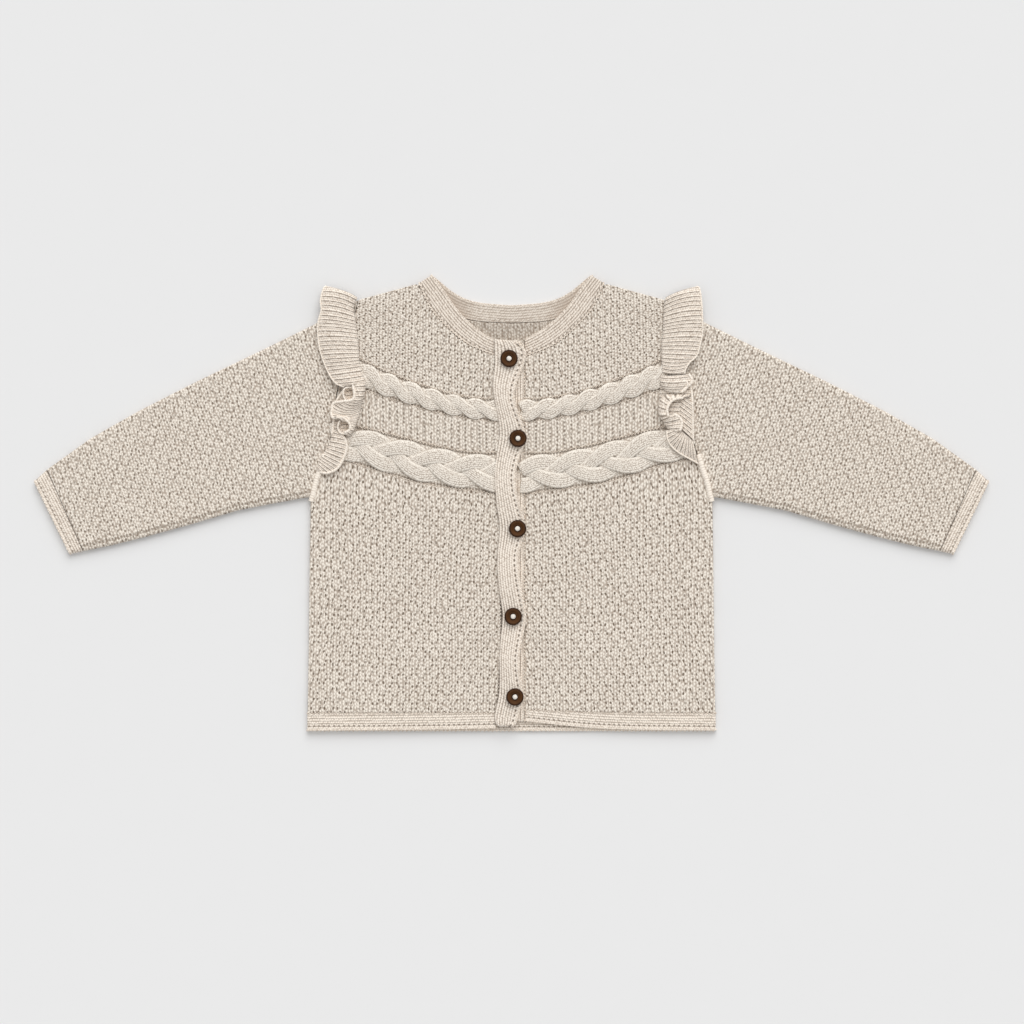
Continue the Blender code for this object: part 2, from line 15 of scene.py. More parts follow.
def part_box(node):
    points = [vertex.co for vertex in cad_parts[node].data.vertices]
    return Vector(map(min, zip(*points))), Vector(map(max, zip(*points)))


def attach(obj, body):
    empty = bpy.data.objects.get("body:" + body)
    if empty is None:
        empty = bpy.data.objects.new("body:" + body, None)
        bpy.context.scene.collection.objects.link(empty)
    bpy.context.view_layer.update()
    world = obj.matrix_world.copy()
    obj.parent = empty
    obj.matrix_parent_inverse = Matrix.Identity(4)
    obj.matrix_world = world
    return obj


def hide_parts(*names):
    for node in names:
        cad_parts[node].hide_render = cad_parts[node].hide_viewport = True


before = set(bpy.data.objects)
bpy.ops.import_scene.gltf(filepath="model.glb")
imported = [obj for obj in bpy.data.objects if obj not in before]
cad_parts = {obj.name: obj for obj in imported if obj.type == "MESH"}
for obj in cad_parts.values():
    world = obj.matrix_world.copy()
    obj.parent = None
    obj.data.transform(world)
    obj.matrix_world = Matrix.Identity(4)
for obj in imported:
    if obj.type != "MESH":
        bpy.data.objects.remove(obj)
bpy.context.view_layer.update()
MM = 0.001

# The table top, camera and light: a pale matt surface seen from straight above, under a wide soft
# light that comes a little from the neck's side. These sizes are in metres, and angles in degrees.
CAMERA_HEIGHT = 2.5
VIEW_WIDTH = 0.67584
VIEW_CENTRE = (0.00033, -0.00594)
SENSOR = 36.0
CLOTH_LEVEL = 0.0043
SKY_STRENGTH = 0.62
LAMP_STRENGTH = 1.9
LAMP_SPREAD = 50.0
LAMP_TILT = (-48.0, 10.0, 0.0)
TABLE_SIZE = 6.0
TABLE_DROP = 0.0003
TABLE_COLOUR = (0.80, 0.80, 0.80)


def shown(name, data):
    """A new object in the scene, at the origin."""
    made = bpy.data.objects.new(name, data)
    bpy.context.scene.collection.objects.link(made)
    return made


camera = shown("camera", bpy.data.cameras.new("camera"))
camera.data.sensor_width = SENSOR
camera.data.lens = SENSOR * (CAMERA_HEIGHT - CLOTH_LEVEL) / VIEW_WIDTH
camera.data.clip_end = 20.0
camera.location = (*VIEW_CENTRE, CAMERA_HEIGHT)
bpy.context.scene.camera = camera

sky = bpy.data.worlds.new("studio")
sky.use_nodes = True
glow = sky.node_tree.nodes["Background"].inputs
glow["Color"].default_value = (1.0, 1.0, 1.0, 1.0)
glow["Strength"].default_value = SKY_STRENGTH
bpy.context.scene.world = sky
bpy.context.scene.view_settings.view_transform = "Standard"

lamp = shown("soft_light", bpy.data.lights.new("soft_light", "SUN"))
lamp.data.energy = LAMP_STRENGTH
lamp.data.angle = math.radians(LAMP_SPREAD)
lamp.rotation_euler = Euler([math.radians(turn) for turn in LAMP_TILT])


class Shade:
    """A number or vector in a material. Sums on it add Math nodes, and made() adds any other node."""

    def __init__(self, tree, socket=None):
        self.tree = tree
        self.socket = socket

    def made(self, kind, settings, values, output=0):
        """A new node: its settings, then its sockets' values or links. Gives one of its outputs."""
        node = self.tree.nodes.new(kind)
        for name, value in settings.items():
            setattr(node, name, value)
        for name, value in values.items():
            if isinstance(value, Shade):
                self.tree.links.new(value.socket, node.inputs[name])
            else:
                node.inputs[name].default_value = value
        return Shade(self.tree, node.outputs[output])

    def maths(self, operation, *values):
        return self.made("ShaderNodeMath", {"operation": operation}, dict(enumerate(values)))

    def __add__(self, other):
        return self.maths("ADD", self, other)

    def __sub__(self, other):
        return self.maths("SUBTRACT", self, other)

    def __rsub__(self, other):
        return self.maths("SUBTRACT", other, self)

    def __mul__(self, other):
        return self.maths("MULTIPLY", self, other)

    def __truediv__(self, other):
        return self.maths("DIVIDE", self, other)

    def __pow__(self, other):
        return self.maths("POWER", self, other)

    def __abs__(self):
        return self.maths("ABSOLUTE", self)

    __radd__ = __add__
    __rmul__ = __mul__

    def part(self):
        """What is left over the whole number below."""
        return self.maths("FRACT", self)

    def whole(self):
        return self.maths("FLOOR", self)

    def lower(self, other=1.0):
        """The lower of this and another number."""
        return self.maths("MINIMUM", self, other)

    def upper(self, other=0.0):
        """The higher of this and another number."""
        return self.maths("MAXIMUM", self, other)

    def rise(self, start, end):
        """0 below start, 1 above end and smooth between them; start may be the greater."""
        values = {"Value": self, "From Min": start, "From Max": end}
        return self.made("ShaderNodeMapRange", {"interpolation_type": "SMOOTHSTEP"}, values)

    def also(self, output):
        """Another output of the node that gave this one."""
        return Shade(self.tree, self.socket.node.outputs[output])

    def numbers(self):
        """The three numbers of a vector."""
        first = self.made("ShaderNodeSeparateXYZ", {}, {"Vector": self})
        return first, first.also(1), first.also(2)

    def beside(self, second, third=0.0):
        """The vector of this number and two others."""
        return self.made("ShaderNodeCombineXYZ", {}, {"X": self, "Y": second, "Z": third})

    def noise(self, scale, detail):
        """Soft noise at the place that this vector gives."""
        return self.made("ShaderNodeTexNoise", {}, {"Vector": self, "Scale": scale, "Detail": detail})

    def bump(self, depth):
        """A normal from this height; depth is in millimetres."""
        return self.made("ShaderNodeBump", {}, {"Height": self, "Distance": depth * MM, "Strength": 1.0})

    def feeds(self, surface, name):
        self.tree.links.new(self.socket, surface.inputs[name])


def new_material(name, roughness, sheen):
    """A Principled material, its surface and the place on the piece, to build its colour from."""
    material = bpy.data.materials.new(name)
    material.use_nodes = True
    surface = material.node_tree.nodes["Principled BSDF"]
    surface.inputs["Roughness"].default_value = roughness
    surface.inputs["Sheen Weight"].default_value = sheen
    surface.inputs["Sheen Roughness"].default_value = 0.6
    place = Shade(material.node_tree).made("ShaderNodeTexCoord", {}, {}, output="Object")
    return material, surface, place


def colour_mix(share, first, second):
    """One colour turning into another as share goes from 0 to 1."""
    settings = {"data_type": "RGBA"}
    return share.made("ShaderNodeMix", settings, {0: share, 6: first, 7: second}, output=2)


def rgb(red, green, blue, strength=1.0):
    return (red * strength, green * strength, blue * strength, 1.0)


table_material, table_surface, place = new_material("table_top", 0.9, 0.0)
paper = colour_mix(place.noise(40.0, 3.0), rgb(*TABLE_COLOUR), rgb(*TABLE_COLOUR, 1.01))
paper.feeds(table_surface, "Base Color")
table_mesh = bpy.data.meshes.new("table_top")
half = TABLE_SIZE / 2.0
corners = [(x * half, y * half, -TABLE_DROP) for x, y in ((-1, -1), (1, -1), (1, 1), (-1, 1))]
table_mesh.from_pydata(corners, [], [(0, 1, 2, 3)])
table_mesh.materials.append(table_material)
shown("table_top", table_mesh)

# The knitted cloth: undyed cotton yarn, oat-coloured with paler and darker plies, in a small half-drop
# bubble stitch. Each bubble is ringed by dark marks, painted shade in the holes where the yarn is drawn
# through; painted shade also deepens the grooves and the gaps between stitches. Sizes of stitches are in
# millimetres of cloth.
YARN_LIGHT = rgb(1.0, 0.93, 0.825)
YARN_DEEP = rgb(0.445, 0.366, 0.297)
# Painted shade: the colour of holes and grooves, where little light gets in.
PAINTED_SHADE = rgb(0.13, 0.085, 0.05)
STITCH = (1.9, 2.2, 0.48)
PINHOLE = (2.2, 2.2, 0.85)
COLUMN_PITCH = 4.6
COLUMN_DOT_PITCH = 2.6
LINK_PITCH = 2.1
BUBBLE_ACROSS = 8.6
BUBBLE_ALONG = 11.2
BUBBLE_LEAN = 0.14
BUBBLE_RISE = 0.12
STRAY_ACROSS = 0.3
STRAY_ALONG = 0.35
PATTERN_DRIFT = 1.1
RING_ACROSS = 0.36
RING_ALONG = 0.39
RING_MARKS = 8.0
MARK_WIDTH = 0.39
MARK_LENGTHS = (0.12, 0.42)
KNIT_BUMP = 0.3
EDGE_RISE = 0.5
EDGE_INSET = 0.8


def grain(u, v, across, along, jitter):
    """Distance from the middle of the nearest stitch, and a random number for that stitch."""
    column = u / across
    place = column.beside(v / along + column.whole() * 0.5)
    values = {"Vector": place, "Scale": 1.0, "Randomness": jitter}
    middle = place.made("ShaderNodeTexVoronoi", {"voronoi_dimensions": "2D"}, values)
    return middle, middle.also(1).numbers()[0]


def yarn_colour(u, v, deep, dark):
    """Plies of two tones, deeper between the stitches with painted shade, and dark with painted shade where
    a hole or groove is.
    """
    place = u.beside(v)
    deep = deep + (place.noise(1.2, 1.0) - 0.5) * 0.12 + (place.noise(0.05, 2.0) - 0.5) * 0.2
    return colour_mix(dark, colour_mix(deep.upper().lower(), YARN_LIGHT, YARN_DEEP), PAINTED_SHADE)


def finished(material, surface, colour, height, depth=KNIT_BUMP):
    """Colour and bump on a material; depth is the bump's in millimetres."""
    colour.feeds(surface, "Base Color")
    height.bump(depth).feeds(surface, "Normal")
    return material


def from_attribute(place, name):
    """The three numbers of a vector kept on the mesh."""
    return place.made("ShaderNodeAttribute", {"attribute_name": name}, {}, output=1).numbers()


def shaded_upper_face(place):
    """1 on the upper face of a piece that lies with its right side down, which is given painted shade."""
    return place.numbers()[2].rise(1.0 * MM, 1.5 * MM)


def lots(column, row, shift):
    """Two random numbers for a bubble, or for one of its marks where column has a fraction."""
    place = column.beside(row, shift)
    colour = place.made("ShaderNodeTexWhiteNoise", {"noise_dimensions": "3D"}, {"Vector": place}, output=1)
    return colour.numbers()[:2]


def bubble_ring(u, v, across, along, shift):
    """One of the two sets of bubbles: the dark marks round them, which are painted shade, a painted
    highlight beside each mark, painted shade on their rings and right sides, and the reach from a
    middle, which is 1 on the ring."""
    column, row = u / across + shift, v / along + shift
    stray_along, stray_across = lots(column.whole(), row.whole(), shift)
    half_across, half_along = RING_ACROSS * across, RING_ALONG * along
    # a and b are the place across and along the bubble, as shares of the ring's reach.
    b = ((row.part() - 0.5) * along + (stray_along - 0.5) * STRAY_ALONG) / half_along
    a = ((column.part() - 0.5) * across + (stray_across - 0.5) * STRAY_ACROSS) / half_across
    a = a + b * BUBBLE_LEAN
    reach = (a * a + b * b) ** 0.5
    # Turn counts marks round the bubble. At a mark, over is the distance off the ring, run along it.
    turn = a.maths("ARCTAN2", b, a) * (RING_MARKS / math.tau) + 0.5
    number = turn.maths("ROUND", turn)
    angle = (number - 0.5) * (math.tau / RING_MARKS)
    aside, ahead = angle.maths("COSINE", angle), angle.maths("SINE", angle)
    lot, length_lot = lots(column.whole() + number * 0.1, row.whole(), shift)
    over = (reach - 1.0) * ((aside * half_across) ** 2.0 + (ahead * half_along) ** 2.0) ** 0.5
    run = ((ahead * half_across) ** 2.0 + (aside * half_along) ** 2.0) ** 0.5
    run = (turn - number) * (math.tau / RING_MARKS) * run
    beyond = (abs(run) - MARK_LENGTHS[0] - length_lot * (MARK_LENGTHS[1] - MARK_LENGTHS[0])).upper()
    # The marks on a bubble's sides are wider and darker than those above and below it.
    flank = abs(aside).rise(0.6, 0.8)
    off = (beyond * beyond + over * over) ** 0.5 - MARK_WIDTH * (1.0 + flank * 0.35)
    strong = flank * 0.95 + (1.0 - flank) * (0.42 + ahead.rise(-0.1, 0.1) * 0.1) - (1.0 - lot) * 0.38
    strong = strong.upper().lower(0.95)
    # Painted shade on the ring and on the right side of the bubble.
    painted_light = abs(over).rise(0.9, 0.1) * (0.03 + abs(a).lower() * 0.06) + reach.rise(1.0, 0.6) * a * 0.06
    return off.rise(0.16, -0.16) * strong, off.rise(1.1, 0.2) * strong, painted_light, reach


def bubble_cloth(name, across, along, inside=0.0):
    """Bubble stitch, with painted shade of strength inside on an upper face that is the wrong side. Its
    mesh keeps stitch = (across, along, seam distance) and zones = (bubbles, eyelet columns, holes) as
    shares."""
    material, surface, place = new_material(name, 0.92, 0.08)
    u, v, seam = from_attribute(place, "stitch")
    bubbles, columns, holes = from_attribute(place, "zones")
    drift = u.beside(v).noise(0.12, 1.0).also(1).numbers()
    loose_u, loose_v = (number + (moved - 0.5) * PATTERN_DRIFT for number, moved in zip((u, v), drift))
    first, first_highlight, first_painted_light, first_reach = bubble_ring(loose_u, loose_v, across, along, 0.0)
    second, second_highlight, second_painted_light, second_reach = bubble_ring(loose_u, loose_v, across, along, 0.5)
    # A painted highlight beside the marks and where the bubbles meet, with the painted shade of both rings.
    junction_highlight = first_reach.lower(second_reach).rise(1.15, 1.5)
    painted_light = first_painted_light + second_painted_light - first_highlight.upper(second_highlight) * 0.1 - junction_highlight * 0.12
    stitch, chance = grain(u, v, *STITCH)
    hole_middle, hole_chance = grain(u, v, *PINHOLE)
    pinhole = hole_middle.rise(0.42, 0.24) * (hole_chance + holes * 0.1).rise(0.86, 0.92) * holes
    column = abs((u / COLUMN_PITCH).part() - 0.5).rise(0.20, 0.1) * columns
    dot = abs((v / COLUMN_DOT_PITCH + hole_chance * 0.3).part() - 0.5).rise(0.32, 0.2)
    dot = dot * hole_chance.rise(0.1, 0.3)
    link = abs((u / LINK_PITCH + hole_chance * 0.3).part() - 0.5).rise(0.34, 0.2)
    seam_dots = (abs(seam).rise(0.9, 0.3) * 0.25).upper(abs(seam).rise(1.3, 0.6) * link * 0.62)
    # The marks, pinholes, eyelet dots and seam dots are painted shade in holes; painted shade also deepens
    # the colour between the stitches.
    dark = (first.upper(second) * bubbles).upper(pinhole * 0.7).upper(column * dot * 0.66).upper(seam_dots)
    deep = stitch.rise(0.12, 0.62) * 0.8 + (chance - 0.5) * 0.1 + 0.12 + painted_light * bubbles
    # On the back's upper face, inside adds painted shade.
    colour = yarn_colour(u, v, deep, (dark + shaded_upper_face(place) * inside).lower())
    return finished(material, surface, colour, (1.0 - stitch) * 0.9 - dark * 0.65)


def upper_rim(name, directions, sign=1.0):
    """The rim of a solid's upper face, cut into runs at its farthest points in four directions.

    The directions go anticlockwise from the lower left. A piece of the wearer's right, whose sign is
    -1, is turned over to lie on the left. Runs are in millimetres.
    """
    skin = bmesh.new()
    skin.from_mesh(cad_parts[name].data)
    bmesh.ops.remove_doubles(skin, verts=skin.verts, dist=1e-6)
    low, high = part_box(name)
    level = (low.z + high.z) / 2.0
    sides = set()
    for face in skin.faces:
        if face.normal.z > 0.05 and face.calc_center_median().z > level:
            sides.update((corner.vert.index, corner.link_loop_next.vert.index) for corner in face.loops)
    following = {first: second for first, second in sides if (second, first) not in sides}
    skin.verts.ensure_lookup_table()
    best = []
    while following:
        here, loop = next(iter(sorted(following))), []
        while here in following:
            loop.append(tuple(skin.verts[here].co))
            here = following.pop(here)
        if len(loop) > len(best):
            best = loop
    skin.free()
    rim = np.array(best) / MM
    if sign < 0:
        rim = rim[::-1] * (-1.0, 1.0, 1.0)
    cuts = [int(np.argmax(rim[:, :2] @ np.array(direction))) for direction in directions]
    runs = []
    for first, last in zip(cuts, cuts[1:] + cuts[:1]):
        places = np.arange(first, last + 1 + (len(rim) if last < first else 0)) % len(rim)
        runs.append(rim[places])
    return runs


def distances(points, axis=0):
    """How far points are along a path, or along the lines of a grid that go one way."""
    steps = np.linalg.norm(np.diff(points, axis=axis), axis=-1)
    return np.concatenate((0.0 * steps.take([0], axis=axis), steps.cumsum(axis=axis)), axis=axis)


def spaced(run, shares, axis=None):
    """Points at shares of a run's length, or of its reach along one axis."""
    reach = distances(run)
    if axis is not None:
        # The small step keeps places apart where the run stands still along the axis.
        reach = distances(run[:, [axis]]) + 1e-6 * np.arange(len(run))
    return np.stack([np.interp(shares, reach / reach[-1], run[:, k]) for k in range(run.shape[1])], axis=1)


def softened(line, times):
    """A line with its corners rounded and its ends kept."""
    for _ in range(times):
        line = line.copy()
        line[1:-1] = (line[:-2] + 2.0 * line[1:-1] + line[2:]) / 4.0
    return line


def even_shares(length, pitch):
    """Shares from 0 to 1 about a pitch apart, with closer ones near both ends."""
    inner = np.linspace(0.0, 1.0, max(3, round(length / pitch)) + 1)[1:-1]
    near = [share for share in (0.25 / length, 0.6 / length) if share < inner[0] * 0.8]
    return np.concatenate(([0.0], near, inner, [1.0 - share for share in reversed(near)], [1.0]))


def filled(runs, pitch_across, pitch_along, axes=(None, None), soften=6):
    """A grid of points that fills four runs, with rows from the lower run to the upper one.

    axes tells along which axis places on the lower and upper runs, and on the side runs, are matched.
    """
    lower, right, upper, left = runs[0], runs[1], runs[2][::-1], runs[3][::-1]
    reaches = [distances(run)[-1] for run in (lower, upper, left, right)]
    across = even_shares(max(reaches[:2]), pitch_across)
    along = even_shares(max(reaches[2:]), pitch_along)
    lower, upper = (softened(spaced(run, across, axes[0]), soften) for run in (lower, upper))
    left, right = (softened(spaced(run, along, axes[1]), soften) for run in (left, right))
    s, t = across[None, :, None], along[:, None, None]
    ruled = (1 - t) * lower[None] + t * upper[None] + (1 - s) * left[:, None] + s * right[:, None]
    corner = (1 - t) * ((1 - s) * lower[0] + s * lower[-1]) + t * ((1 - s) * upper[0] + s * upper[-1])
    return ruled - corner


def edge_distances(grid):
    """Distances of each point from the left, right, lower and upper edges, along the grid's lines."""
    left, lower = distances(grid[..., :2], axis=1), distances(grid[..., :2])
    return left, left[:, -1:] - left, lower, lower[-1:] - lower


def inner_path(grid, distance, inset, sign=1.0, sink=0.0):
    """The grid line whose distance from an edge is nearest to inset, as points of the finished piece."""
    axis = 1 if np.ptp(distance, axis=0).mean() > np.ptp(distance, axis=1).mean() else 0
    line = int(np.abs(distance.mean(axis=axis) - inset).argmin())
    path = grid[line] if axis == 1 else grid[:, line]
    return path * (sign, 1.0, 1.0) - (0.0, 0.0, sink)


def rounding(distance, radius):
    """How far a rounded edge has dropped at a distance from it."""
    inside = np.clip(radius - distance, 0.0, radius)
    return radius - np.sqrt(np.maximum(radius * radius - inside * inside, 0.0))


def rounded(grid, radii):
    """The drop of the four edges, with a radius for each: left, right, lower and upper."""
    drops = [rounding(distance, radius) for distance, radius in zip(edge_distances(grid), radii)]
    return np.maximum.reduce(drops)


def grid_faces(rows, columns, start=0):
    """Quads between a grid's rows and columns, anticlockwise from above."""
    first = start + np.arange(rows - 1)[:, None] * columns + np.arange(columns - 1)[None]
    return np.stack([first, first + 1, first + 1 + columns, first + columns], axis=-1).reshape(-1, 4)


def grid_border(rows, columns):
    """Indices of a grid's border, anticlockwise from its lower left corner."""
    index = np.arange(rows * columns).reshape(rows, columns)
    return np.concatenate((index[0, :-1], index[:-1, -1], index[-1, :0:-1], index[:0:-1, 0]))


def strip_faces(first, second):
    """Quads between closed rings of indices, outwards where the second ones lie below the first."""
    quads = np.stack([first, second, np.roll(second, -1, axis=-1), np.roll(first, -1, axis=-1)], axis=-1)
    return quads.reshape(-1, 4)


def new_piece(name, points, faces, material, slot, replaced=(), **kept):
    """A smooth mesh from points in millimetres. kept are vectors stored on its points."""
    mesh = bpy.data.meshes.new(name)
    mesh.from_pydata((np.asarray(points) * MM).tolist(), [], [list(face) for face in faces])
    for label, values in kept.items():
        layer = mesh.attributes.new(label, "FLOAT_VECTOR", "POINT")
        layer.data.foreach_set("vector", np.asarray(values, dtype=np.float32).ravel())
    mesh.materials.append(material)
    mesh.shade_smooth()
    piece = shown(name, mesh)
    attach(piece, "root")
    if replaced:
        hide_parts(*replaced)
    return piece


def turned_over(grid, kept, sign):
    """A grid and what is kept on it, turned over for a piece of the wearer's right, whose sign is -1."""
    if sign > 0:
        return grid, kept
    return grid[:, ::-1] * (-1.0, 1.0, 1.0), {label: values[:, ::-1] for label, values in kept.items()}


def picked(kept, source):
    """What is kept on a grid, picked out for points that come from the given places on it."""
    return {label: values.reshape(-1, 3)[source] for label, values in kept.items()}


def flat_cloth(name, grid, under, material, slot, replaced=(), sign=1.0, lined=False, **kept):
    """A closed piece of cloth under a grid of its upper face, flat below at the height under.

    Its edges come down to EDGE_RISE above that height and turn in below. lined gives the underside a
    grid as well.
    """
    grid, kept = turned_over(grid, kept, sign)
    rows, columns = grid.shape[:2]
    top = grid.reshape(-1, 3)
    border = grid_border(rows, columns)
    inner = np.clip(border // columns, 1, rows - 2) * columns + np.clip(border % columns, 1, columns - 2)
    side = top[border].copy()
    side[:, 2] = under + EDGE_RISE
    foot = top[border] + EDGE_INSET * (top[inner] - top[border])
    foot[:, 2] = under
    source = [np.arange(len(top)), border]
    first = len(top) + np.arange(len(border))
    faces = list(grid_faces(rows, columns)) + list(strip_faces(border, first))
    if lined:
        bottom = top * (1.0, 1.0, 0.0) + (0.0, 0.0, under)
        bottom[border] = foot
        points = np.concatenate((top, side, bottom))
        start = len(top) + len(border)
        faces += list(strip_faces(first, start + border)) + list(grid_faces(rows, columns, start)[:, ::-1])
        source.append(source[0])
    else:
        points = np.concatenate((top, side, foot))
        second = first + len(border)
        faces += list(strip_faces(first, second)) + [second[::-1]]
        source.append(border)
    kept = picked(kept, np.concatenate(source))
    return new_piece(name, points, faces, material, slot, replaced, **kept)


def vectors(grid, *numbers):
    """Some numbers for each point of a grid, from arrays or single values."""
    return np.stack([np.broadcast_to(number, grid.shape[:2]) for number in numbers], axis=-1)


def ripple(x, y, size, seed):
    """A slow, uneven wave from -1 to 1, for cloth that isn't quite regular."""
    a = np.sin(x / size + seed) * np.cos(y / (size * 0.83) + 1.7 * seed)
    b = np.sin((x * 0.6 + y * 0.8) / (size * 0.47) + 2.9 * seed)
    return 0.6 * a + 0.4 * b


def bubble_height(u, v, across, along):
    """Height from 0 to 1 of the half-drop bubbles, nought in the gutters between them."""
    reaches = []
    for shift in (0.0, 0.5):
        b = ((v / along + shift) % 1.0 - 0.5) / RING_ALONG
        a = ((u / across + shift) % 1.0 - 0.5) / RING_ACROSS + b * BUBBLE_LEAN
        reaches.append(np.hypot(a, b))
    share = np.clip((1.25 - np.minimum(*reaches)) / 0.9, 0.0, 1.0)
    return share * share * (3.0 - 2.0 * share)


bubble_knit = bubble_cloth("bubble_knit", BUBBLE_ACROSS, BUBBLE_ALONG)

# The fronts: bubble stitch with two raised cable bands that drop from the placket to the armhole, and
# eyelet columns between the bands. Knitted in two pieces, each joined to its band, hem and sleeve.
# Lines across a front are given by their heights at five distances from the middle and on the seam.
LINE_X = (10.0, 35.0, 60.0, 80.0, 100.0)
SEAM_X = (132.6, 121.8, 116.8, 113.5, 109.3)
FRONT_LINES = (
    (-12.0, -10.0, -7.0, -4.0, -0.5, 4.2),
    (6.2, 10.3, 13.8, 19.8, 25.8, 29.0),
    (32.6, 34.1, 39.0, 45.0, 49.0, 53.0),
    (54.5, 58.0, 63.2, 70.2, 76.0, 81.0),
    (68.0, 70.5, 77.0, 85.5, 94.0, 100.0),
)
FRONT_FACE = 4.3
FRONT_UNDER = 2.3
HEM_SEAM = -138.5
NECK_POINT = 144.9
CABLE_GROOVE = 0.8
COLUMN_WAVE = 9.2
SIDES = (("right", -1.0), ("left", 1.0))
curves = [np.polyfit(LINE_X + (end,), line, 4) for line, end in zip(FRONT_LINES, SEAM_X)]
# Edges where one piece is linked to another, kept for the chains.
linked_edges = []


def line_height(number, x):
    """Height of one of the lines across the fronts at a distance from the middle."""
    return np.polyval(curves[number], np.clip(x, 8.0, SEAM_X[number]))


def knit_height(x, y):
    """Height in the knitting: rows are level at the hem and follow the cable bands above."""
    lines = [line_height(number, x) for number in range(5)]
    levels = [np.full_like(x, HEM_SEAM), *lines, np.full_like(x, NECK_POINT)]
    middle = [HEM_SEAM] + [line[0] for line in FRONT_LINES] + [NECK_POINT]
    rows = y
    for number in range(6):
        share = (y - levels[number]) / np.maximum(levels[number + 1] - levels[number], 5.0)
        inside = (y >= levels[number]) & (y < levels[number + 1])
        rows = np.where(inside, middle[number] + share * (middle[number + 1] - middle[number]), rows)
    return rows


def between(value, low, high, soft):
    """1 between two heights and 0 outside them, with a soft step at both."""
    return np.clip((value - low) / soft + 0.5, 0, 1) * np.clip((high - value) / soft + 0.5, 0, 1)


def bell(distance, reach):
    """1 at no distance, falling smoothly to nought beyond reach."""
    return np.exp(-((distance / reach) ** 2))


def make_front(side, sign):
    """One front, with the corners of its rim at the hem, shoulder and neckline."""
    directions = [(-1.0, -1.0), (1.0, -1.0), (1.0, 2.2), (-1.0, 0.6)]
    grid = filled(upper_rim(side + "_front", directions, sign), 0.9, 0.9, axes=(0, None))
    x, y = grid[..., 0], grid[..., 1]
    lines = [line_height(number, x) for number in range(5)]
    seam = np.min([np.abs(y - line) for line in lines[1:]], axis=0) * 0.97
    cable = np.maximum(between(y, lines[1], lines[2], 2.0), between(y, lines[3], lines[4], 2.0))
    strip = between(y, lines[2], lines[3], 2.0)
    yoke = between(y, lines[4], 400.0, 2.0)
    u = x + 0.7 * ripple(x, y, 23.0, 1.0 + sign)
    v = knit_height(x, y) + 0.7 * ripple(y, x, 19.0, 2.0 + sign)
    plain = 1.0 - cable
    rise = BUBBLE_RISE * bubble_height(u, v, BUBBLE_ACROSS, BUBBLE_ALONG) * (plain - 0.75 * strip)
    rise += 0.3 * strip * np.cos(u / COLUMN_WAVE * math.tau) - CABLE_GROOVE * bell(seam, 0.9)
    drop = rounded(grid, (0.4, 0.9, 0.7, 0.7))
    grid[..., 2] = FRONT_FACE - BUBBLE_RISE * 0.6 + rise - drop + 0.25 * ripple(x, y, 31.0, 4.0)
    stitch = vectors(grid, u, v, seam)
    zones = vectors(grid, plain * (1.0 - strip), strip, 0.3 * yoke)
    piece = flat_cloth(side + "_front_knit", grid, FRONT_UNDER, bubble_knit, "knit", [side + "_front"],
                       sign, stitch=stitch, zones=zones)
    linked_edges.append(inner_path(grid, edge_distances(grid)[0], 0.0, sign, 0.25))


for side, sign in SIDES:
    make_front(side, sign)

# The back: one piece of the same bubble stitch, lying face down. Its inside shows in the neck opening,
# flatter than the fronts and darkened with painted shade, as it lies in the hollow under them. NO_SEAM is
# a distance that leaves a piece without dots or holes.
BACK_FACE = 2.0
NO_SEAM = 9.0
# The back's knit, with painted shade on its upper face.
shaded_inner_knit = bubble_cloth("shaded_inner_knit", BUBBLE_ACROSS, BUBBLE_ALONG, inside=0.33)


def make_back():
    """The back panel, lined so that its face side below is knitted too."""
    directions = [(-1.0, -1.0), (1.0, -1.0), (1.0, 2.2), (-1.0, 2.2)]
    grid = filled(upper_rim("back_panel", directions), 1.8, 1.8, axes=(0, None), soften=3)
    x, y = grid[..., 0], grid[..., 1]
    grid[..., 2] = BACK_FACE - rounded(grid, (0.9, 0.9, 0.7, 0.7)) + 0.12 * np.sin(x * 1.9) * np.sin(y * 2.3)
    stitch = vectors(grid, x, y, NO_SEAM)
    zones = vectors(grid, 0.35, 0.0, 0.5)
    piece = flat_cloth("back_knit", grid, 0.0, shaded_inner_knit, "knit", ["back_panel"], lined=True,
                       stitch=stitch, zones=zones)


make_back()

# Hems, neckbands and placket bands: firm fine ribbing in a slightly paler yarn, knitted on to the body.
# Each is linked by a row of holes and ends in a smooth rolled rim, which is painted paler, a painted
# highlight.
RIB_LIGHT = rgb(0.98, 0.89, 0.78)
RIB_DEEP = rgb(0.60, 0.50, 0.41)
RIB_PITCH = 1.75
RIB_RISE = 0.22
RIB_BUMP = 0.35
RIB_STITCH = 1.6
RIB_GRID = 0.42
HOLE_PITCH = 3.3


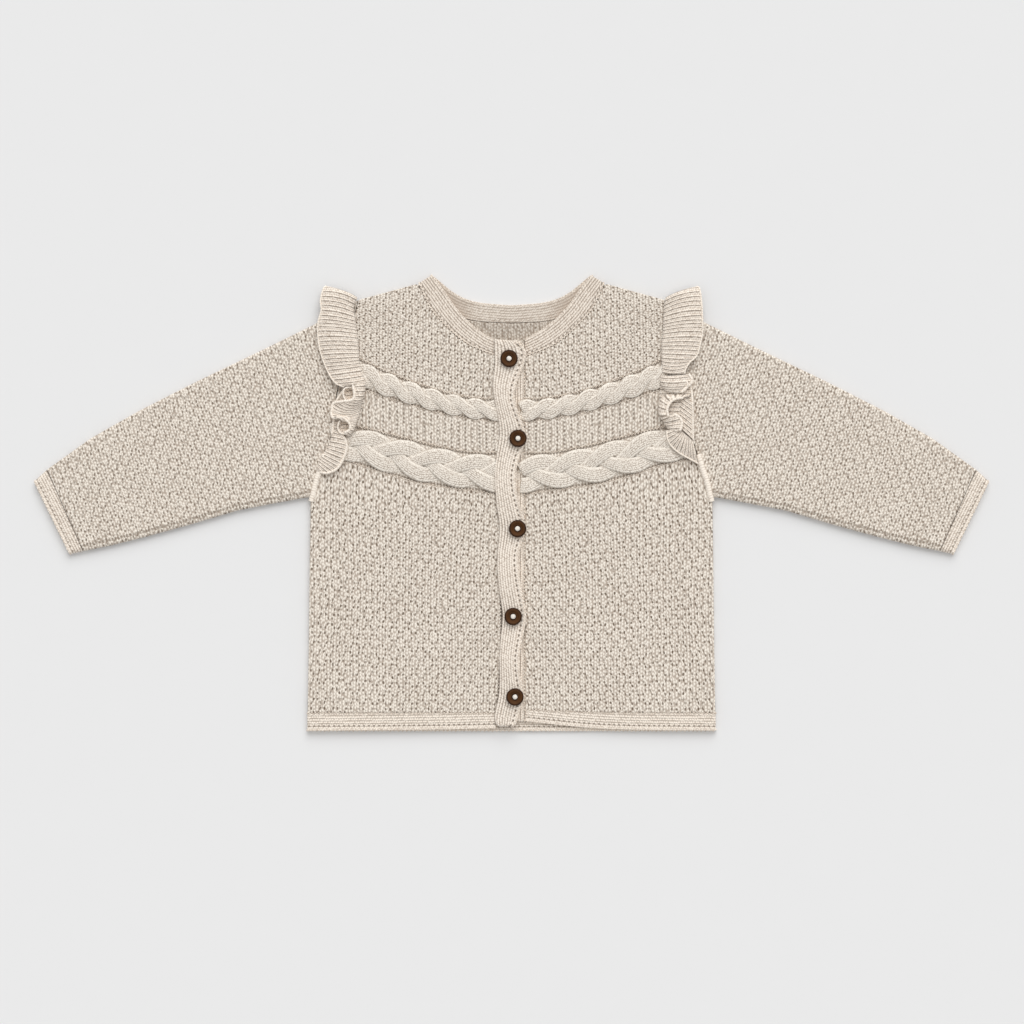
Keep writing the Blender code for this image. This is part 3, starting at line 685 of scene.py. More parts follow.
def rib_cloth(name, pitch, groove_shade, inside=0.0):
    """Ribbing. Its mesh keeps stitch = (across the ribs, along them, distance from the row of holes)
    and zones = (ribs, holes, rim) as shares. The rim is painted paler as a painted highlight, and inside
    is painted shade on the upper face of a piece lying face down."""
    material, surface, place = new_material(name, 0.9, 0.3)
    u, v, hole_row = from_attribute(place, "stitch")
    ribs, holes, rolled = from_attribute(place, "zones")
    # Painted shade in the grooves and the holes.
    groove = abs((u / pitch).part() - 0.5).rise(0.30, 0.48) * ribs
    wale = pitch if pitch < 2.0 else pitch / 2.0
    stitch, chance = grain(u - wale * 0.3, v, wale, RIB_STITCH, 0.4)
    hole = abs(hole_row).rise(0.75, 0.3) * abs((v / HOLE_PITCH).part() - 0.5).rise(0.29, 0.13) * holes
    dark = (groove * groove_shade * (0.55 + 0.6 * chance)).upper(hole * 0.85)
    heather = u.beside(v).noise(0.8, 4.0)
    # Painted shade deepens the colour between stitches, and a painted highlight pales the rolled rim.
    deep = stitch.rise(0.2, 0.6) * 0.95 + (heather - 0.5) * 0.4 + (chance - 0.5) * 0.3 - rolled * 0.2
    yarn = colour_mix(deep.upper().lower(), RIB_LIGHT, RIB_DEEP)
    # On the upper face of a piece lying face down, inside adds painted shade.
    colour = colour_mix((dark + shaded_upper_face(place) * inside).lower(), yarn, PAINTED_SHADE)
    return finished(material, surface, colour, (1.0 - stitch) * 0.5 - dark, RIB_BUMP)


fine_rib = rib_cloth("fine_rib", RIB_PITCH, 0.55)
# The back neckband's rib, with painted shade on its upper face.
shaded_inner_rib = rib_cloth("shaded_inner_rib", RIB_PITCH, 0.3, inside=0.19)


def rib_height(u, pitch):
    """Height from 0 to 1 of ribs across u, with narrow grooves between them."""
    return np.abs(np.cos(u / pitch * math.pi)) ** 0.6


def square_rim(name, sign=1.0):
    """The rim of a piece whose corners lie roughly square."""
    return upper_rim(name, [(-1.0, -1.0), (1.0, -1.0), (1.0, 1.0), (-1.0, 1.0)], sign)


def make_hem(name, face, under, sign):
    """A hem band: ribs run along it, a linking row above, a row of holes and a rim below."""
    grid = filled(square_rim(name, sign), 1.3, RIB_GRID, axes=(0, None), soften=1)
    lower, upper = edge_distances(grid)[2:]
    drop = rounded(grid, (0.9, 0.9, 0.4, 0.5))
    rise = 0.5 * RIB_RISE * rib_height(lower - 0.9, RIB_PITCH) * (lower > 1.4)
    grid[..., 2] = face - RIB_RISE - drop + rise + 0.2 * ripple(grid[..., 0], grid[..., 1], 17.0, 5.0)
    row = np.where(lower < upper, lower - 2.9, upper - 0.7)
    holes = np.where(lower < upper, 0.85, 0.34)
    zones = vectors(grid, 0.8 * (lower > 2.0), holes, np.clip(1.6 - lower, 0.0, 1.0))
    piece = flat_cloth(name + "_rib", grid, under, fine_rib, "rib", [name], sign,
                       stitch=vectors(grid, lower - 0.9, grid[..., 0], row), zones=zones)
    linked_edges.append(inner_path(grid, upper, 0.3, sign) + (0.0, 0.35, 0.0))
    return inner_path(grid, lower, 0.6, sign, 0.35)


hem_edges = [make_hem("back_hem", BACK_FACE, 0.0, 1.0)]
for side, sign in SIDES:
    hem_edges.append(make_hem(side + "_front_hem", FRONT_FACE, FRONT_UNDER, sign))


def neck_rim(name, sign):
    """The rim of half a neckband: placket end, seam edge, shoulder end and free edge."""
    return upper_rim(name, [(-1.0, 0.3), (-0.5, -1.0), (1.0, 0.1), (0.2, 1.0)], sign)


def make_neckband(name, runs, face, under, sign, cut, rests):
    """A neckband: seven ribs along it, holes along its seam and a rolled rim at its free edge.

    The back's one shows its inside, with fainter holes and painted shade towards the shoulders, where the
    fronts' bands lie over it.
    """
    grid = filled(runs, RIB_GRID, 1.3, soften=4)
    free, seam, start = edge_distances(grid)[:3]
    drop = rounded(grid, (1.2, 0.5, 0.4, 0.4))
    grid[..., 2] = face - RIB_RISE - drop + RIB_RISE * rib_height(free - 0.6, RIB_PITCH)
    yarn, holes, deeper = fine_rib, 0.8, 0.8
    if under == 0.0:
        # The back's band gets painted shade towards the shoulders; the fronts' bands are a little deeper all
        # over.
        yarn, holes, deeper = shaded_inner_rib, 0.3, np.clip(np.abs(grid[..., 0]) - 22.0, 0.0, 12.0) / 4.0
    zones = vectors(grid, 1.0, holes, np.clip(1.8 - free, 0.0, 1.0) - deeper)
    piece = flat_cloth(name + "_rib", grid, under, yarn, "rib", [name], sign, lined=True,
                       stitch=vectors(grid, free - 0.6, start, seam - 1.6), zones=zones)
    if under > 0.0:
        linked_edges.append(inner_path(grid, seam, 0.2, sign))
    return inner_path(grid, free, 1.0, sign, 0.3)


neck_edges = []
for side, sign in SIDES:
    runs = neck_rim(side + "_neckband", sign)
    placed = (FRONT_FACE, FRONT_UNDER, sign, 0.078, "back_neckband_rib")
    neck_edges.append(make_neckband(side + "_neckband", runs, *placed))
back_runs = upper_rim("back_neckband", [(-0.2, 1.0), (-1.0, 0.1), (1.0, 0.1), (0.2, 1.0)])
neck_edges.append(make_neckband("back_neckband", back_runs, BACK_FACE, 0.0, 1.0, 0.13, "table_top"))

# The placket: the buttonhole band lies on top and the button band below it. The upper band arches up
# between the buttons, so that its edge swings and the lower band's ribs show beside it.
BAND_FACE = 6.6
BAND_UNDER = 4.6
BAND_WIDTH = 15.5
BAND_ROW = 3.0
BAND_CORNER = 5.0
# How far from each button the grooves of the upper band are darkened with painted shade.
BUTTON_SHADE_REACH = 11.0
DROP_FROM = 50.0
BUTTON_CENTRES = ((-1.6, 95.2), (4.3, 42.6), (4.0, -16.9), (1.1, -74.8), (2.3, -127.8))


def draped(name, grid, times):
    """Heights of a solid's upper face under a grid, with its facets smoothed away."""
    skin = bmesh.new()
    skin.from_mesh(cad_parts[name].data)
    solid = BVHTree.FromBMesh(skin)
    skin.free()
    heights = np.zeros(grid.shape[:2])
    for place in np.ndindex(heights.shape):
        above = Vector((*(grid[place][:2] * MM), DROP_FROM * MM))
        hit = solid.ray_cast(above, Vector((0.0, 0.0, -1.0)))[0] or solid.find_nearest(above)[0]
        heights[place] = hit.z / MM
    for _ in range(times):
        for turned in (heights, heights.T):
            edge = np.pad(turned, ((1, 1), (0, 0)), mode="edge")
            turned[:] = (edge[:-2] + 2.0 * edge[1:-1] + edge[2:]) / 4.0
    return heights


def make_buttonhole_band():
    """The upper band: ribs on its left, smooth stitches, a row of holes and a thick rolled edge. Its
    grooves get more painted shade near the buttons."""
    directions = [(-1.0, -1.0), (0.3, -1.0), (1.0, 2.0), (-1.0, 2.0)]
    grid = filled(upper_rim("buttonhole_band", directions), RIB_GRID, 1.1, axes=(None, 1), soften=8)
    left, right = edge_distances(grid)[:2]
    u = BAND_WIDTH * left / np.maximum(left + right, 1.0)
    heights = np.maximum(draped("buttonhole_band", grid, 6), BAND_FACE)
    ribbed = np.clip((right - 4.2) / 1.5, 0.0, 1.0)
    rise = RIB_RISE * (rib_height(u, RIB_PITCH) - 1.0) * ribbed
    rolled = 0.45 * bell(right - 1.3, 1.0) - 0.25 * bell(right - BAND_ROW, 0.7)
    grid[..., 2] = heights + rise + rolled - rounded(grid, (1.9, 1.5, 1.6, 1.4))
    # Near the buttons the grooves get more painted shade.
    near = np.max([bell(grid[..., 1] - y, BUTTON_SHADE_REACH) for _, y in BUTTON_CENTRES], axis=0)
    zones = vectors(grid, ribbed * (0.7 + 0.7 * near), 1.0, np.clip(2.4 - right, 0.0, 1.0))
    piece = flat_cloth("buttonhole_band_rib", grid, BAND_UNDER, fine_rib, "rib", ["buttonhole_band"],
                       stitch=vectors(grid, u, grid[..., 1], right - BAND_ROW), zones=zones)
    return inner_path(grid, right, 0.9, sink=0.2)


def make_button_band():
    """The lower band: straight, with ribs along it, a rolled rim and a rounded upper corner."""
    grid = filled(square_rim("button_band"), RIB_GRID, 1.6, axes=(None, 1), soften=4)
    near_top = np.clip(1.0 - (grid[-1, :, 1] - grid[..., 1]) / BAND_CORNER, 0.0, 1.0)
    pull = BAND_CORNER * (1.0 - np.sqrt(1.0 - near_top**2)) / (grid[:, -1:, 0] - grid[:, :1, 0])
    grid[..., 0] -= (grid[..., 0] - grid[:, :1, 0]) * pull
    right = edge_distances(grid)[1]
    rise = RIB_RISE * 1.3 * (rib_height(right - 0.9, RIB_PITCH) - 1.0)
    grid[..., 2] = FRONT_FACE - 0.1 + rise - rounded(grid, (0.8, 1.1, 0.8, 0.8))
    zones = vectors(grid, 1.0, 0.0, np.clip(1.9 - right, 0.0, 1.0))
    piece = flat_cloth("button_band_rib", grid, FRONT_UNDER, fine_rib, "rib", ["button_band"],
                       stitch=vectors(grid, right - 0.9, grid[..., 1], NO_SEAM), zones=zones)


band_edges = [make_buttonhole_band()]
make_button_band()

# Sleeves and cuffs: tubes that lie pressed flat. The bubble stitch runs along each sleeve, so its rows
# slant with it; the cuffs are ribbed round the wrist with a row of holes on both edges.
SLEEVE_AXIS = ((117.0, 69.0), (295.0, -4.0))
TUBE_HEIGHT = 4.3
TUBE_WALL = 2.0
SLEEVE_ACROSS = 8.2
SLEEVE_ALONG = 10.3
SLEEVE_CORNERS = [(-1.0, -0.6), (0.2, -1.0), (1.0, 0.3), (-0.2, 1.0)]
CUFF_CORNERS = [(-1.0, -0.6), (0.1, -1.0), (1.0, 0.0), (-0.2, 1.0)]
LOWER_STEP = 3


def tube(name, grid, sign, material, slot, replaced, **kept):
    """A flat tube of cloth round a grid of its upper layer, whose lower and upper edges are its folds."""
    grid, kept = turned_over(grid, kept, sign)
    rows, columns = grid.shape[:2]
    place = np.arange(rows * columns).reshape(rows, columns)
    middle = TUBE_HEIGHT / 2.0
    lower, upper = edge_distances(grid)[2:]
    kept_rows = [row for row in range(1, rows - 1) if row % LOWER_STEP == 0]
    flat_rows = [row for row in kept_rows if min(lower[row].min(), upper[row].min()) > TUBE_WALL + 0.2]
    smooth_z = TUBE_HEIGHT - rounded(grid, (0.0, 0.0, middle, middle))
    under = grid[kept_rows].copy()
    under[..., 2] = TUBE_HEIGHT - smooth_z[kept_rows]
    inner_top, inner_low = grid[flat_rows].copy(), grid[flat_rows].copy()
    inner_top[..., 2] = TUBE_HEIGHT - TUBE_WALL
    inner_low[..., 2] = TUBE_WALL
    layers = [grid, under, inner_top, inner_low]
    source = [place, place[kept_rows], place[flat_rows], place[flat_rows]]
    starts = np.cumsum([0] + [layer.shape[0] * columns for layer in layers])
    index = [start + np.arange(layer.shape[0] * columns).reshape(-1, columns)
             for start, layer in zip(starts, layers)]
    outside = np.concatenate((index[0], index[1][::-1]))
    inside = np.concatenate((index[2], index[3][::-1]))[::-1]
    faces = []
    for ring in (outside, inside):
        following = np.roll(ring, -1, axis=0)
        quads = np.stack([ring[:, :-1], ring[:, 1:], following[:, 1:], following[:, :-1]], axis=-1)
        faces += list(quads.reshape(-1, 4))
    for column, step in ((0, -1), (columns - 1, 1)):
        top, low = index[0][:, column], index[1][:, column]
        roof, base = index[2][:, column], index[3][:, column]
        caps = [np.concatenate((top, roof[::-1])), np.concatenate(([top[-1]], low[::-1], [top[0]], base))]
        caps += [np.array([top[0], roof[0], base[0]]), np.array([top[-1], base[-1], roof[-1]])]
        faces += [cap[::step] for cap in caps]
    points = np.concatenate([layer.reshape(-1, 3) for layer in layers])
    kept = picked(kept, np.concatenate([part.ravel() for part in source]))
    return new_piece(name, points, faces, material, slot, replaced, **kept)


sleeve_knit = bubble_cloth("sleeve_bubble_knit", SLEEVE_ACROSS, SLEEVE_ALONG)


def sleeve_places(grid):
    """Distances along a sleeve's middle line and to one side of it."""
    start, end = np.array(SLEEVE_AXIS[0]), np.array(SLEEVE_AXIS[1])
    along = (end - start) / np.linalg.norm(end - start)
    offset = grid[..., :2] - start
    return offset @ along, offset @ np.array((-along[1], along[0]))


def make_sleeve(side, sign):
    """A sleeve, from the armhole to the cuff."""
    grid = filled(upper_rim(side + "_sleeve", SLEEVE_CORNERS, sign), 1.1, 1.1)
    x, y = grid[..., 0], grid[..., 1]
    along, aside = sleeve_places(grid)
    u = along + 0.6 * ripple(x, y, 21.0, 3.0 + sign)
    v = aside + 0.6 * ripple(y, x, 24.0, 1.0 + sign)
    left, right, lower, upper = edge_distances(grid)
    fold = np.minimum(lower, upper)
    rise = BUBBLE_RISE * bubble_height(u, v, SLEEVE_ACROSS, SLEEVE_ALONG) * np.clip(fold / 2.0, 0.3, 1.0)
    half = TUBE_HEIGHT / 2.0
    drop = np.maximum(rounded(grid, (0.0, 0.0, half, half)), rounding(np.minimum(left, right), 0.8))
    grid[..., 2] = TUBE_HEIGHT - BUBBLE_RISE * 0.6 * np.clip(fold / 2.0, 0.0, 1.0) + rise - drop
    piece = tube(side + "_sleeve_knit", grid, sign, sleeve_knit, "knit", [side + "_sleeve"],
                 stitch=vectors(grid, u, v, lower - 3.6), zones=vectors(grid, 0.84, 0.0, 0.0))


def make_cuff(side, sign):
    """A cuff: ribs round the wrist, a row of holes at its seam and one by its rim."""
    grid = filled(upper_rim(side + "_cuff", CUFF_CORNERS, sign), RIB_GRID, 0.9)
    seam, free, lower = edge_distances(grid)[:3]
    half = TUBE_HEIGHT / 2.0
    drop = np.maximum(rounded(grid, (0.0, 0.0, half, half)), rounded(grid, (0.5, 1.2, 0.0, 0.0)))
    rise = RIB_RISE * (rib_height(free - 0.8, RIB_PITCH * 0.9) - 1.0)
    grid[..., 2] = TUBE_HEIGHT + rise - drop
    row = np.where(free < seam, free - 2.9, seam - 0.8)
    holes = np.where(free < seam, 0.75, 0.5)
    zones = vectors(grid, 0.8 * (free > 2.0), holes, np.clip(1.8 - free, 0.0, 1.0))
    piece = tube(side + "_cuff_rib", grid, sign, fine_rib, "rib", [side + "_cuff"],
                 stitch=vectors(grid, free - 0.8, lower, row), zones=zones)
    return inner_path(grid, free, 0.9, sign, 0.3)


cuff_edges = []
for side, sign in SIDES:
    make_sleeve(side, sign)
    cuff_edges.append(make_cuff(side, sign))

# Cables: plain smooth stitches crossed over each other. The upper band is a rope of two strands, which
# leans the other way on the other front, and the lower one a plait of three. Each front's pair is the
# place of a crossing and the distance between the lobes on one edge.
STRAND_PITCH = 1.5
STRAND_STITCH = 1.2
CABLE_LEVEL = 4.75
STRAND_THICK = 1.2
ROPE = {"right": (16.8, 14.4), "left": (17.4, 13.8), "reach": 3.2, "half_width": 4.3, "lift": 0.85}
PLAIT = {"right": (4.05, 23.8), "left": (26.7, 24.0), "reach": 6.9, "half_width": 5.2, "lift": 0.95}
STRAND_SIDES = 18
CABLE_INNER = 6.0


def strand_cloth(name):
    """Smooth stitches. Its mesh keeps stitch = (across the strand, along it, side of the strand)."""
    material, surface, place = new_material(name, 0.92, 0.3)
    u, v, side = from_attribute(place, "stitch")
    column = abs((u / STRAND_PITCH).part() - 0.5)
    slanted = v + column * 1.1
    stitch, chance = grain(u, slanted, STRAND_PITCH * 0.9, STRAND_STITCH, 0.5)
    groove = column.rise(0.34, 0.5)
    # Painted shade in the grooves and at the strands' edges, a painted highlight just inside the edges, and
    # painted shade deepening the colour between stitches.
    dark = (groove * 0.1).upper(side.rise(0.9, 1.0) * 0.5)
    deep = (stitch * 0.7 + 0.1 - side.rise(0.6, 0.85) * 0.1).rise(0.22, 0.55) * 0.85
    colour = yarn_colour(u, v, deep + (chance - 0.5) * 0.2 + 0.05, dark)
    return finished(material, surface, colour, (1.0 - stitch) * 0.6 - groove * 0.4)


smooth_knit = strand_cloth("smooth_knit")


def full_turn(steps):
    """Even angles round a circle."""
    return np.linspace(0.0, math.tau, steps, endpoint=False)


def unit(directions):
    """Directions brought to a length of 1."""
    return directions / (np.linalg.norm(directions, axis=-1)[..., None] + 1e-9)


def sideways(path):
    """Level directions to the left of a path."""
    heading = unit(np.gradient(path[:, :2], axis=0))
    return np.stack([-heading[:, 1], heading[:, 0]], axis=1)


def strand(route, half_width, stitch_start):
    """Points, faces and stitches of one flat strand along a route of (x, y, z, sideways x, y)."""
    angles = full_turn(STRAND_SIDES)
    flat = np.sign(np.cos(angles)) * np.abs(np.cos(angles)) ** 0.8
    centre, aside = route[:, None, :3], route[:, None, 3:]
    points = np.repeat(centre, STRAND_SIDES, axis=1)
    points[..., :2] += aside * (flat * half_width)[None, :, None]
    points[..., 2] += np.sin(angles)[None] * STRAND_THICK
    lengths = distances(route[:, :3])[:, None] + stitch_start
    stitches = vectors(points, flat * half_width, lengths, np.abs(flat))
    ring = np.arange(len(route) * STRAND_SIDES).reshape(-1, STRAND_SIDES)
    faces = list(strip_faces(ring[:-1], ring[1:])) + [ring[0], ring[-1][::-1]]
    return points.reshape(-1, 3), faces, stitches.reshape(-1, 3)


def joined(parts):
    """Several lots of points, faces and stitches as one."""
    points, faces, stitches, count = [], [], [], 0
    for some_points, some_faces, some_stitches in parts:
        points.append(some_points)
        stitches.append(some_stitches)
        faces += [np.asarray(face) + count for face in some_faces]
        count += len(some_points)
    return np.concatenate(points), faces, np.concatenate(stitches)


def make_cable(name, side, sign, low_line, high_line, strands, shape):
    """A cable along the middle of its band, from under the placket to the armhole seam."""
    end = min(SEAM_X[low_line], SEAM_X[high_line]) + 3.0
    x = np.arange(CABLE_INNER, end, 0.5)
    low, high = line_height(low_line, x), line_height(high_line, x)
    middle = np.stack([x, (low + high) / 2.0], axis=1)
    room = (high - low) / (high - low).mean()
    first, lobe = shape[side]
    parts = []
    for number in range(strands):
        turn = math.tau * ((x - first) / (lobe * strands) + number / strands)
        offset = shape["reach"] * np.sin(turn) * room
        crossing = np.cos(turn) if strands == 2 else np.sin(2.0 * turn) * sign
        route = middle + sideways(middle) * offset[:, None]
        width = 0.78 + 0.22 * np.abs(np.sin(turn))
        level = CABLE_LEVEL + shape["lift"] * crossing
        route = np.concatenate((route, level[:, None], sideways(route) * width[:, None]), axis=1)
        parts.append(strand(route * (sign, 1.0, 1.0, sign, 1.0), shape["half_width"], 37.0 * number))
    points, faces, stitches = joined(parts)
    if sign < 0:
        faces = [face[::-1] for face in faces]
    piece = new_piece(name, points, faces, smooth_knit, "knit", stitch=stitches)


for side, sign in SIDES:
    make_cable(side + "_rope_cable", side, sign, 3, 4, 2, ROPE)
    make_cable(side + "_plait_cable", side, sign, 1, 2, 3, PLAIT)

# Frills: ribbed strips gathered into the armhole seam. Over the shoulder each stands out as a fan, and
# below it the free edge curls back on itself in small loops before it tapers to the underarm.
FRILL_PITCH = 3.0
FRILL_RIB = 0.5
FRILL_WALL = 1.4
FOLD_STEPS = 22
SHORTEST_FOLD = 12.0
RIM_RADIUS = 0.6
THICK_RIM = 0.95
TAIL_RADIUS = 2.1
TAIL_STEPS = 40
RIM_SIDES = 8
RIM_RIB = 2.5
THIN_RIMMED = ("fan", "side", "lower_fan")
LOOP_STEPS = 44
LOOP_ROWS = 8
LOOP_DEPTH = 5.2
LOOP_WALL = 0.9
# A fold's rows are (seam edge, crown, free edge), each (x, y, z), and a bed is the cloth below the other
# folds. A loop is (x, y, z, two radii, tilt).
RIGHT_FOLDS = {
    "fan": (
        ((103.0, 136.5, 3.2), (113.0, 140.8, 3.6), (122.6, 143.2, 3.2)),
        ((101.8, 135.0, 6.2), (112.5, 139.6, 8.6), (124.2, 141.0, 5.6)),
        ((104.0, 128.8, 6.0), (114.5, 132.6, 9.4), (125.9, 133.6, 6.8)),
        ((103.2, 122.6, 6.0), (114.5, 125.8, 9.6), (125.4, 127.0, 7.4)),
        ((102.4, 116.5, 6.0), (115.0, 118.6, 9.8), (127.4, 119.4, 7.2)),
        ((101.2, 109.0, 6.0), (115.0, 110.2, 10.0), (127.6, 110.0, 7.0)),
        ((100.6, 101.0, 6.0), (114.0, 101.4, 10.0), (126.2, 100.6, 7.0)),
        ((100.2, 93.6, 6.2), (112.0, 92.4, 10.0), (123.2, 91.6, 7.4)),
        ((98.6, 86.6, 6.6), (109.5, 84.8, 10.2), (119.4, 83.6, 8.2)),
        ((96.6, 80.8, 7.0), (105.4, 79.2, 10.4), (115.4, 78.7, 9.2)),
        ((96.0, 77.6, 7.0), (102.4, 77.6, 10.4), (110.4, 76.5, 9.6)),
    ),
    "ridge": (
        ((95.9, 79.8, 7.2), (99.4, 79.4, 10.2), (104.8, 78.6, 9.6)),
        ((96.2, 75.8, 7.4), (99.2, 75.4, 10.6), (104.0, 75.2, 10.4)),
        ((96.8, 71.8, 7.6), (99.4, 71.4, 10.6), (103.4, 71.4, 10.6)),
        ((97.8, 68.6, 7.6), (101.0, 67.6, 10.6), (105.2, 67.8, 10.6)),
        ((98.6, 66.0, 7.4), (104.8, 64.0, 10.0), (111.8, 66.8, 9.8)),
        ((99.0, 63.6, 7.0), (108.0, 61.0, 9.4), (117.4, 65.6, 8.2)),
        ((99.6, 60.8, 7.0), (108.6, 58.0, 9.4), (118.4, 60.6, 8.0)),
        ((100.6, 57.4, 7.4), (108.4, 55.6, 10.0), (117.8, 56.4, 9.0)),
        ((101.6, 54.2, 7.8), (105.4, 53.9, 10.4), (111.2, 56.0, 10.2)),
        ((102.6, 51.0, 7.8), (104.2, 51.0, 10.6), (106.6, 52.4, 10.6)),
        ((104.0, 47.6, 7.8), (105.0, 47.6, 10.4), (106.6, 48.2, 10.4)),
        ((107.2, 43.8, 7.6), (108.6, 44.6, 9.8), (110.2, 46.2, 10.0)),
    ),
    "tail": (
        ((117.4, 48.6, 6.4), (115.0, 47.4, 8.4), (112.6, 45.6, 8.0)),
        ((119.0, 43.6, 6.4), (114.6, 42.8, 8.8), (109.4, 41.4, 7.6)),
        ((120.4, 39.1, 6.4), (115.0, 38.0, 8.8), (108.8, 36.4, 7.4)),
        ((122.8, 34.5, 6.2), (117.6, 32.4, 8.6), (110.6, 29.8, 7.0)),
        ((126.0, 30.0, 6.0), (121.2, 27.0, 8.2), (114.8, 23.0, 6.8)),
        ((127.8, 25.8, 6.0), (124.8, 23.0, 7.6), (121.0, 19.8, 6.6)),
        ((128.4, 22.4, 6.0), (127.8, 21.6, 7.0), (126.6, 20.5, 6.4)),
    ),
    "bed": (
        ((97.0, 78.0, 5.4), (104.0, 77.0, 6.4), (111.0, 74.0, 6.0)),
        ((97.2, 67.0, 5.4), (107.0, 66.0, 6.6), (116.4, 65.0, 6.0)),
        ((100.6, 56.0, 5.4), (109.0, 55.5, 6.6), (117.2, 55.0, 6.0)),
        ((106.0, 46.0, 5.4), (112.0, 45.5, 6.4), (118.4, 45.0, 6.0)),
    ),
}
RIGHT_LOOPS = ((107.0, 71.6, 9.6, 3.4, 4.6, 0.1), (109.9, 50.8, 9.6, 4.0, 5.2, -0.1))
LEFT_FOLDS = {
    "fan": (
        ((103.2, 136.4, 3.2), (113.0, 140.5, 3.6), (122.6, 142.9, 3.2)),
        ((101.4, 134.8, 6.2), (112.0, 139.2, 8.6), (124.0, 141.4, 5.6)),
        ((100.4, 128.0, 6.0), (113.0, 132.6, 9.4), (125.2, 133.6, 6.8)),
        ((100.0, 120.0, 6.0), (113.0, 122.8, 9.8), (125.8, 123.6, 7.2)),
        ((99.6, 112.0, 6.0), (113.0, 113.6, 10.0), (126.0, 113.6, 7.0)),
        ((98.8, 104.6, 6.0), (112.0, 105.0, 10.0), (124.4, 104.6, 7.0)),
        ((98.8, 98.0, 6.2), (110.5, 97.4, 10.0), (122.0, 97.0, 7.6)),
        ((99.0, 92.4, 6.6), (108.5, 91.2, 10.0), (117.5, 92.8, 9.0)),
        ((99.2, 88.0, 7.0), (107.0, 86.8, 10.0), (114.8, 88.6, 10.0)),
        ((99.4, 85.8, 7.0), (106.5, 84.8, 9.6), (114.0, 85.2, 9.6)),
    ),
    "second": (
        ((98.6, 84.2, 7.2), (106.0, 83.9, 9.2), (116.6, 85.0, 8.8)),
        ((97.9, 81.6, 7.2), (106.0, 80.8, 10.2), (118.6, 82.0, 9.2)),
        ((98.2, 78.4, 7.2), (106.0, 77.4, 10.4), (118.0, 78.6, 9.2)),
        ((99.6, 75.6, 7.2), (106.0, 74.4, 10.2), (114.0, 75.2, 9.2)),
        ((101.6, 73.4, 7.2), (106.4, 72.2, 9.6), (111.6, 72.4, 9.4)),
    ),
    "third": (
        ((118.5, 71.5, 7.4), (115.5, 70.2, 9.6), (113.0, 69.4, 9.8)),
        ((110.0, 72.6, 7.2), (109.4, 70.6, 9.8), (108.2, 68.6, 10.0)),
        ((102.5, 71.8, 7.0), (103.2, 69.8, 10.0), (105.4, 67.0, 10.2)),
        ((98.2, 68.2, 7.0), (100.0, 66.6, 10.0), (103.4, 64.4, 10.3)),
        ((96.8, 63.4, 7.0), (98.8, 62.4, 10.0), (102.4, 61.2, 10.3)),
        ((97.0, 58.8, 7.0), (99.2, 58.4, 10.1), (102.8, 58.6, 10.4)),
        ((98.8, 54.8, 7.0), (100.6, 55.4, 10.1), (103.6, 56.8, 10.4)),
    ),
    "fourth": (
        ((99.6, 56.4, 7.2), (103.4, 57.8, 10.0), (107.0, 58.4, 9.8)),
        ((99.8, 54.2, 7.2), (104.6, 55.2, 10.6), (110.2, 56.8, 9.8)),
        ((101.0, 51.8, 7.2), (106.0, 52.4, 9.6), (112.2, 53.6, 9.8)),
        ((102.6, 49.4, 7.3), (107.2, 49.8, 10.5), (111.9, 50.2, 9.8)),
        ((104.4, 47.2, 7.3), (107.6, 47.2, 10.0), (110.4, 47.0, 9.6)),
    ),
    "side": (
        ((113.5, 70.5, 7.8), (116.2, 68.0, 8.6), (119.2, 66.0, 8.4)),
        ((110.4, 66.5, 7.2), (114.8, 63.0, 8.2), (119.5, 59.4, 8.2)),
        ((110.0, 60.5, 7.0), (114.6, 56.8, 8.2), (119.5, 52.8, 8.0)),
        ((111.0, 54.0, 7.2), (115.2, 50.4, 8.4), (119.6, 46.8, 7.9)),
        ((111.6, 49.0, 7.6), (115.6, 45.4, 8.6), (119.9, 41.4, 7.8)),
    ),
    "lower_fan": (
        ((110.4, 49.4, 8.0), (106.2, 48.6, 9.6), (102.2, 47.8, 7.8)),
        ((111.6, 48.0, 8.2), (107.2, 44.8, 9.8), (102.8, 42.4, 7.6)),
        ((112.8, 46.8, 8.2), (109.2, 42.2, 9.7), (105.2, 37.8, 7.4)),
        ((114.2, 45.6, 8.2), (112.0, 40.0, 9.5), (109.4, 33.8, 7.2)),
        ((115.8, 44.6, 8.1), (115.4, 38.2, 9.2), (114.4, 30.8, 7.0)),
        ((117.4, 43.2, 8.0), (118.4, 36.4, 8.9), (119.2, 28.2, 6.8)),
        ((119.4, 41.0, 7.6), (121.6, 33.6, 8.2), (123.4, 25.8, 6.6)),
    ),
    "bed": (
        ((98.6, 84.0, 5.6), (107.0, 84.0, 6.8), (115.0, 83.0, 6.0)),
        ((98.0, 74.0, 5.6), (109.0, 74.0, 7.0), (118.6, 74.0, 6.4)),
        ((97.6, 64.0, 5.6), (109.0, 64.0, 7.4), (119.2, 63.0, 6.6)),
        ((101.0, 54.0, 5.6), (110.0, 54.0, 7.2), (119.6, 53.0, 6.6)),
        ((106.0, 46.0, 5.6), (113.0, 45.0, 6.6), (119.6, 44.0, 6.2)),
    ),
}
LEFT_LOOPS = ((113.4, 77.4, 9.2, 2.2, 2.9, 0.2),)
FRILL_TAIL = (
    (123.0, 32.0, 5.2),
    (126.2, 22.0, 4.6),
    (128.9, 14.0, 4.2),
    (130.9, 6.0, 3.8),
    (132.0, 1.0, 3.4),
)
frill_rib = rib_cloth("frill_rib", FRILL_PITCH, 0.75)


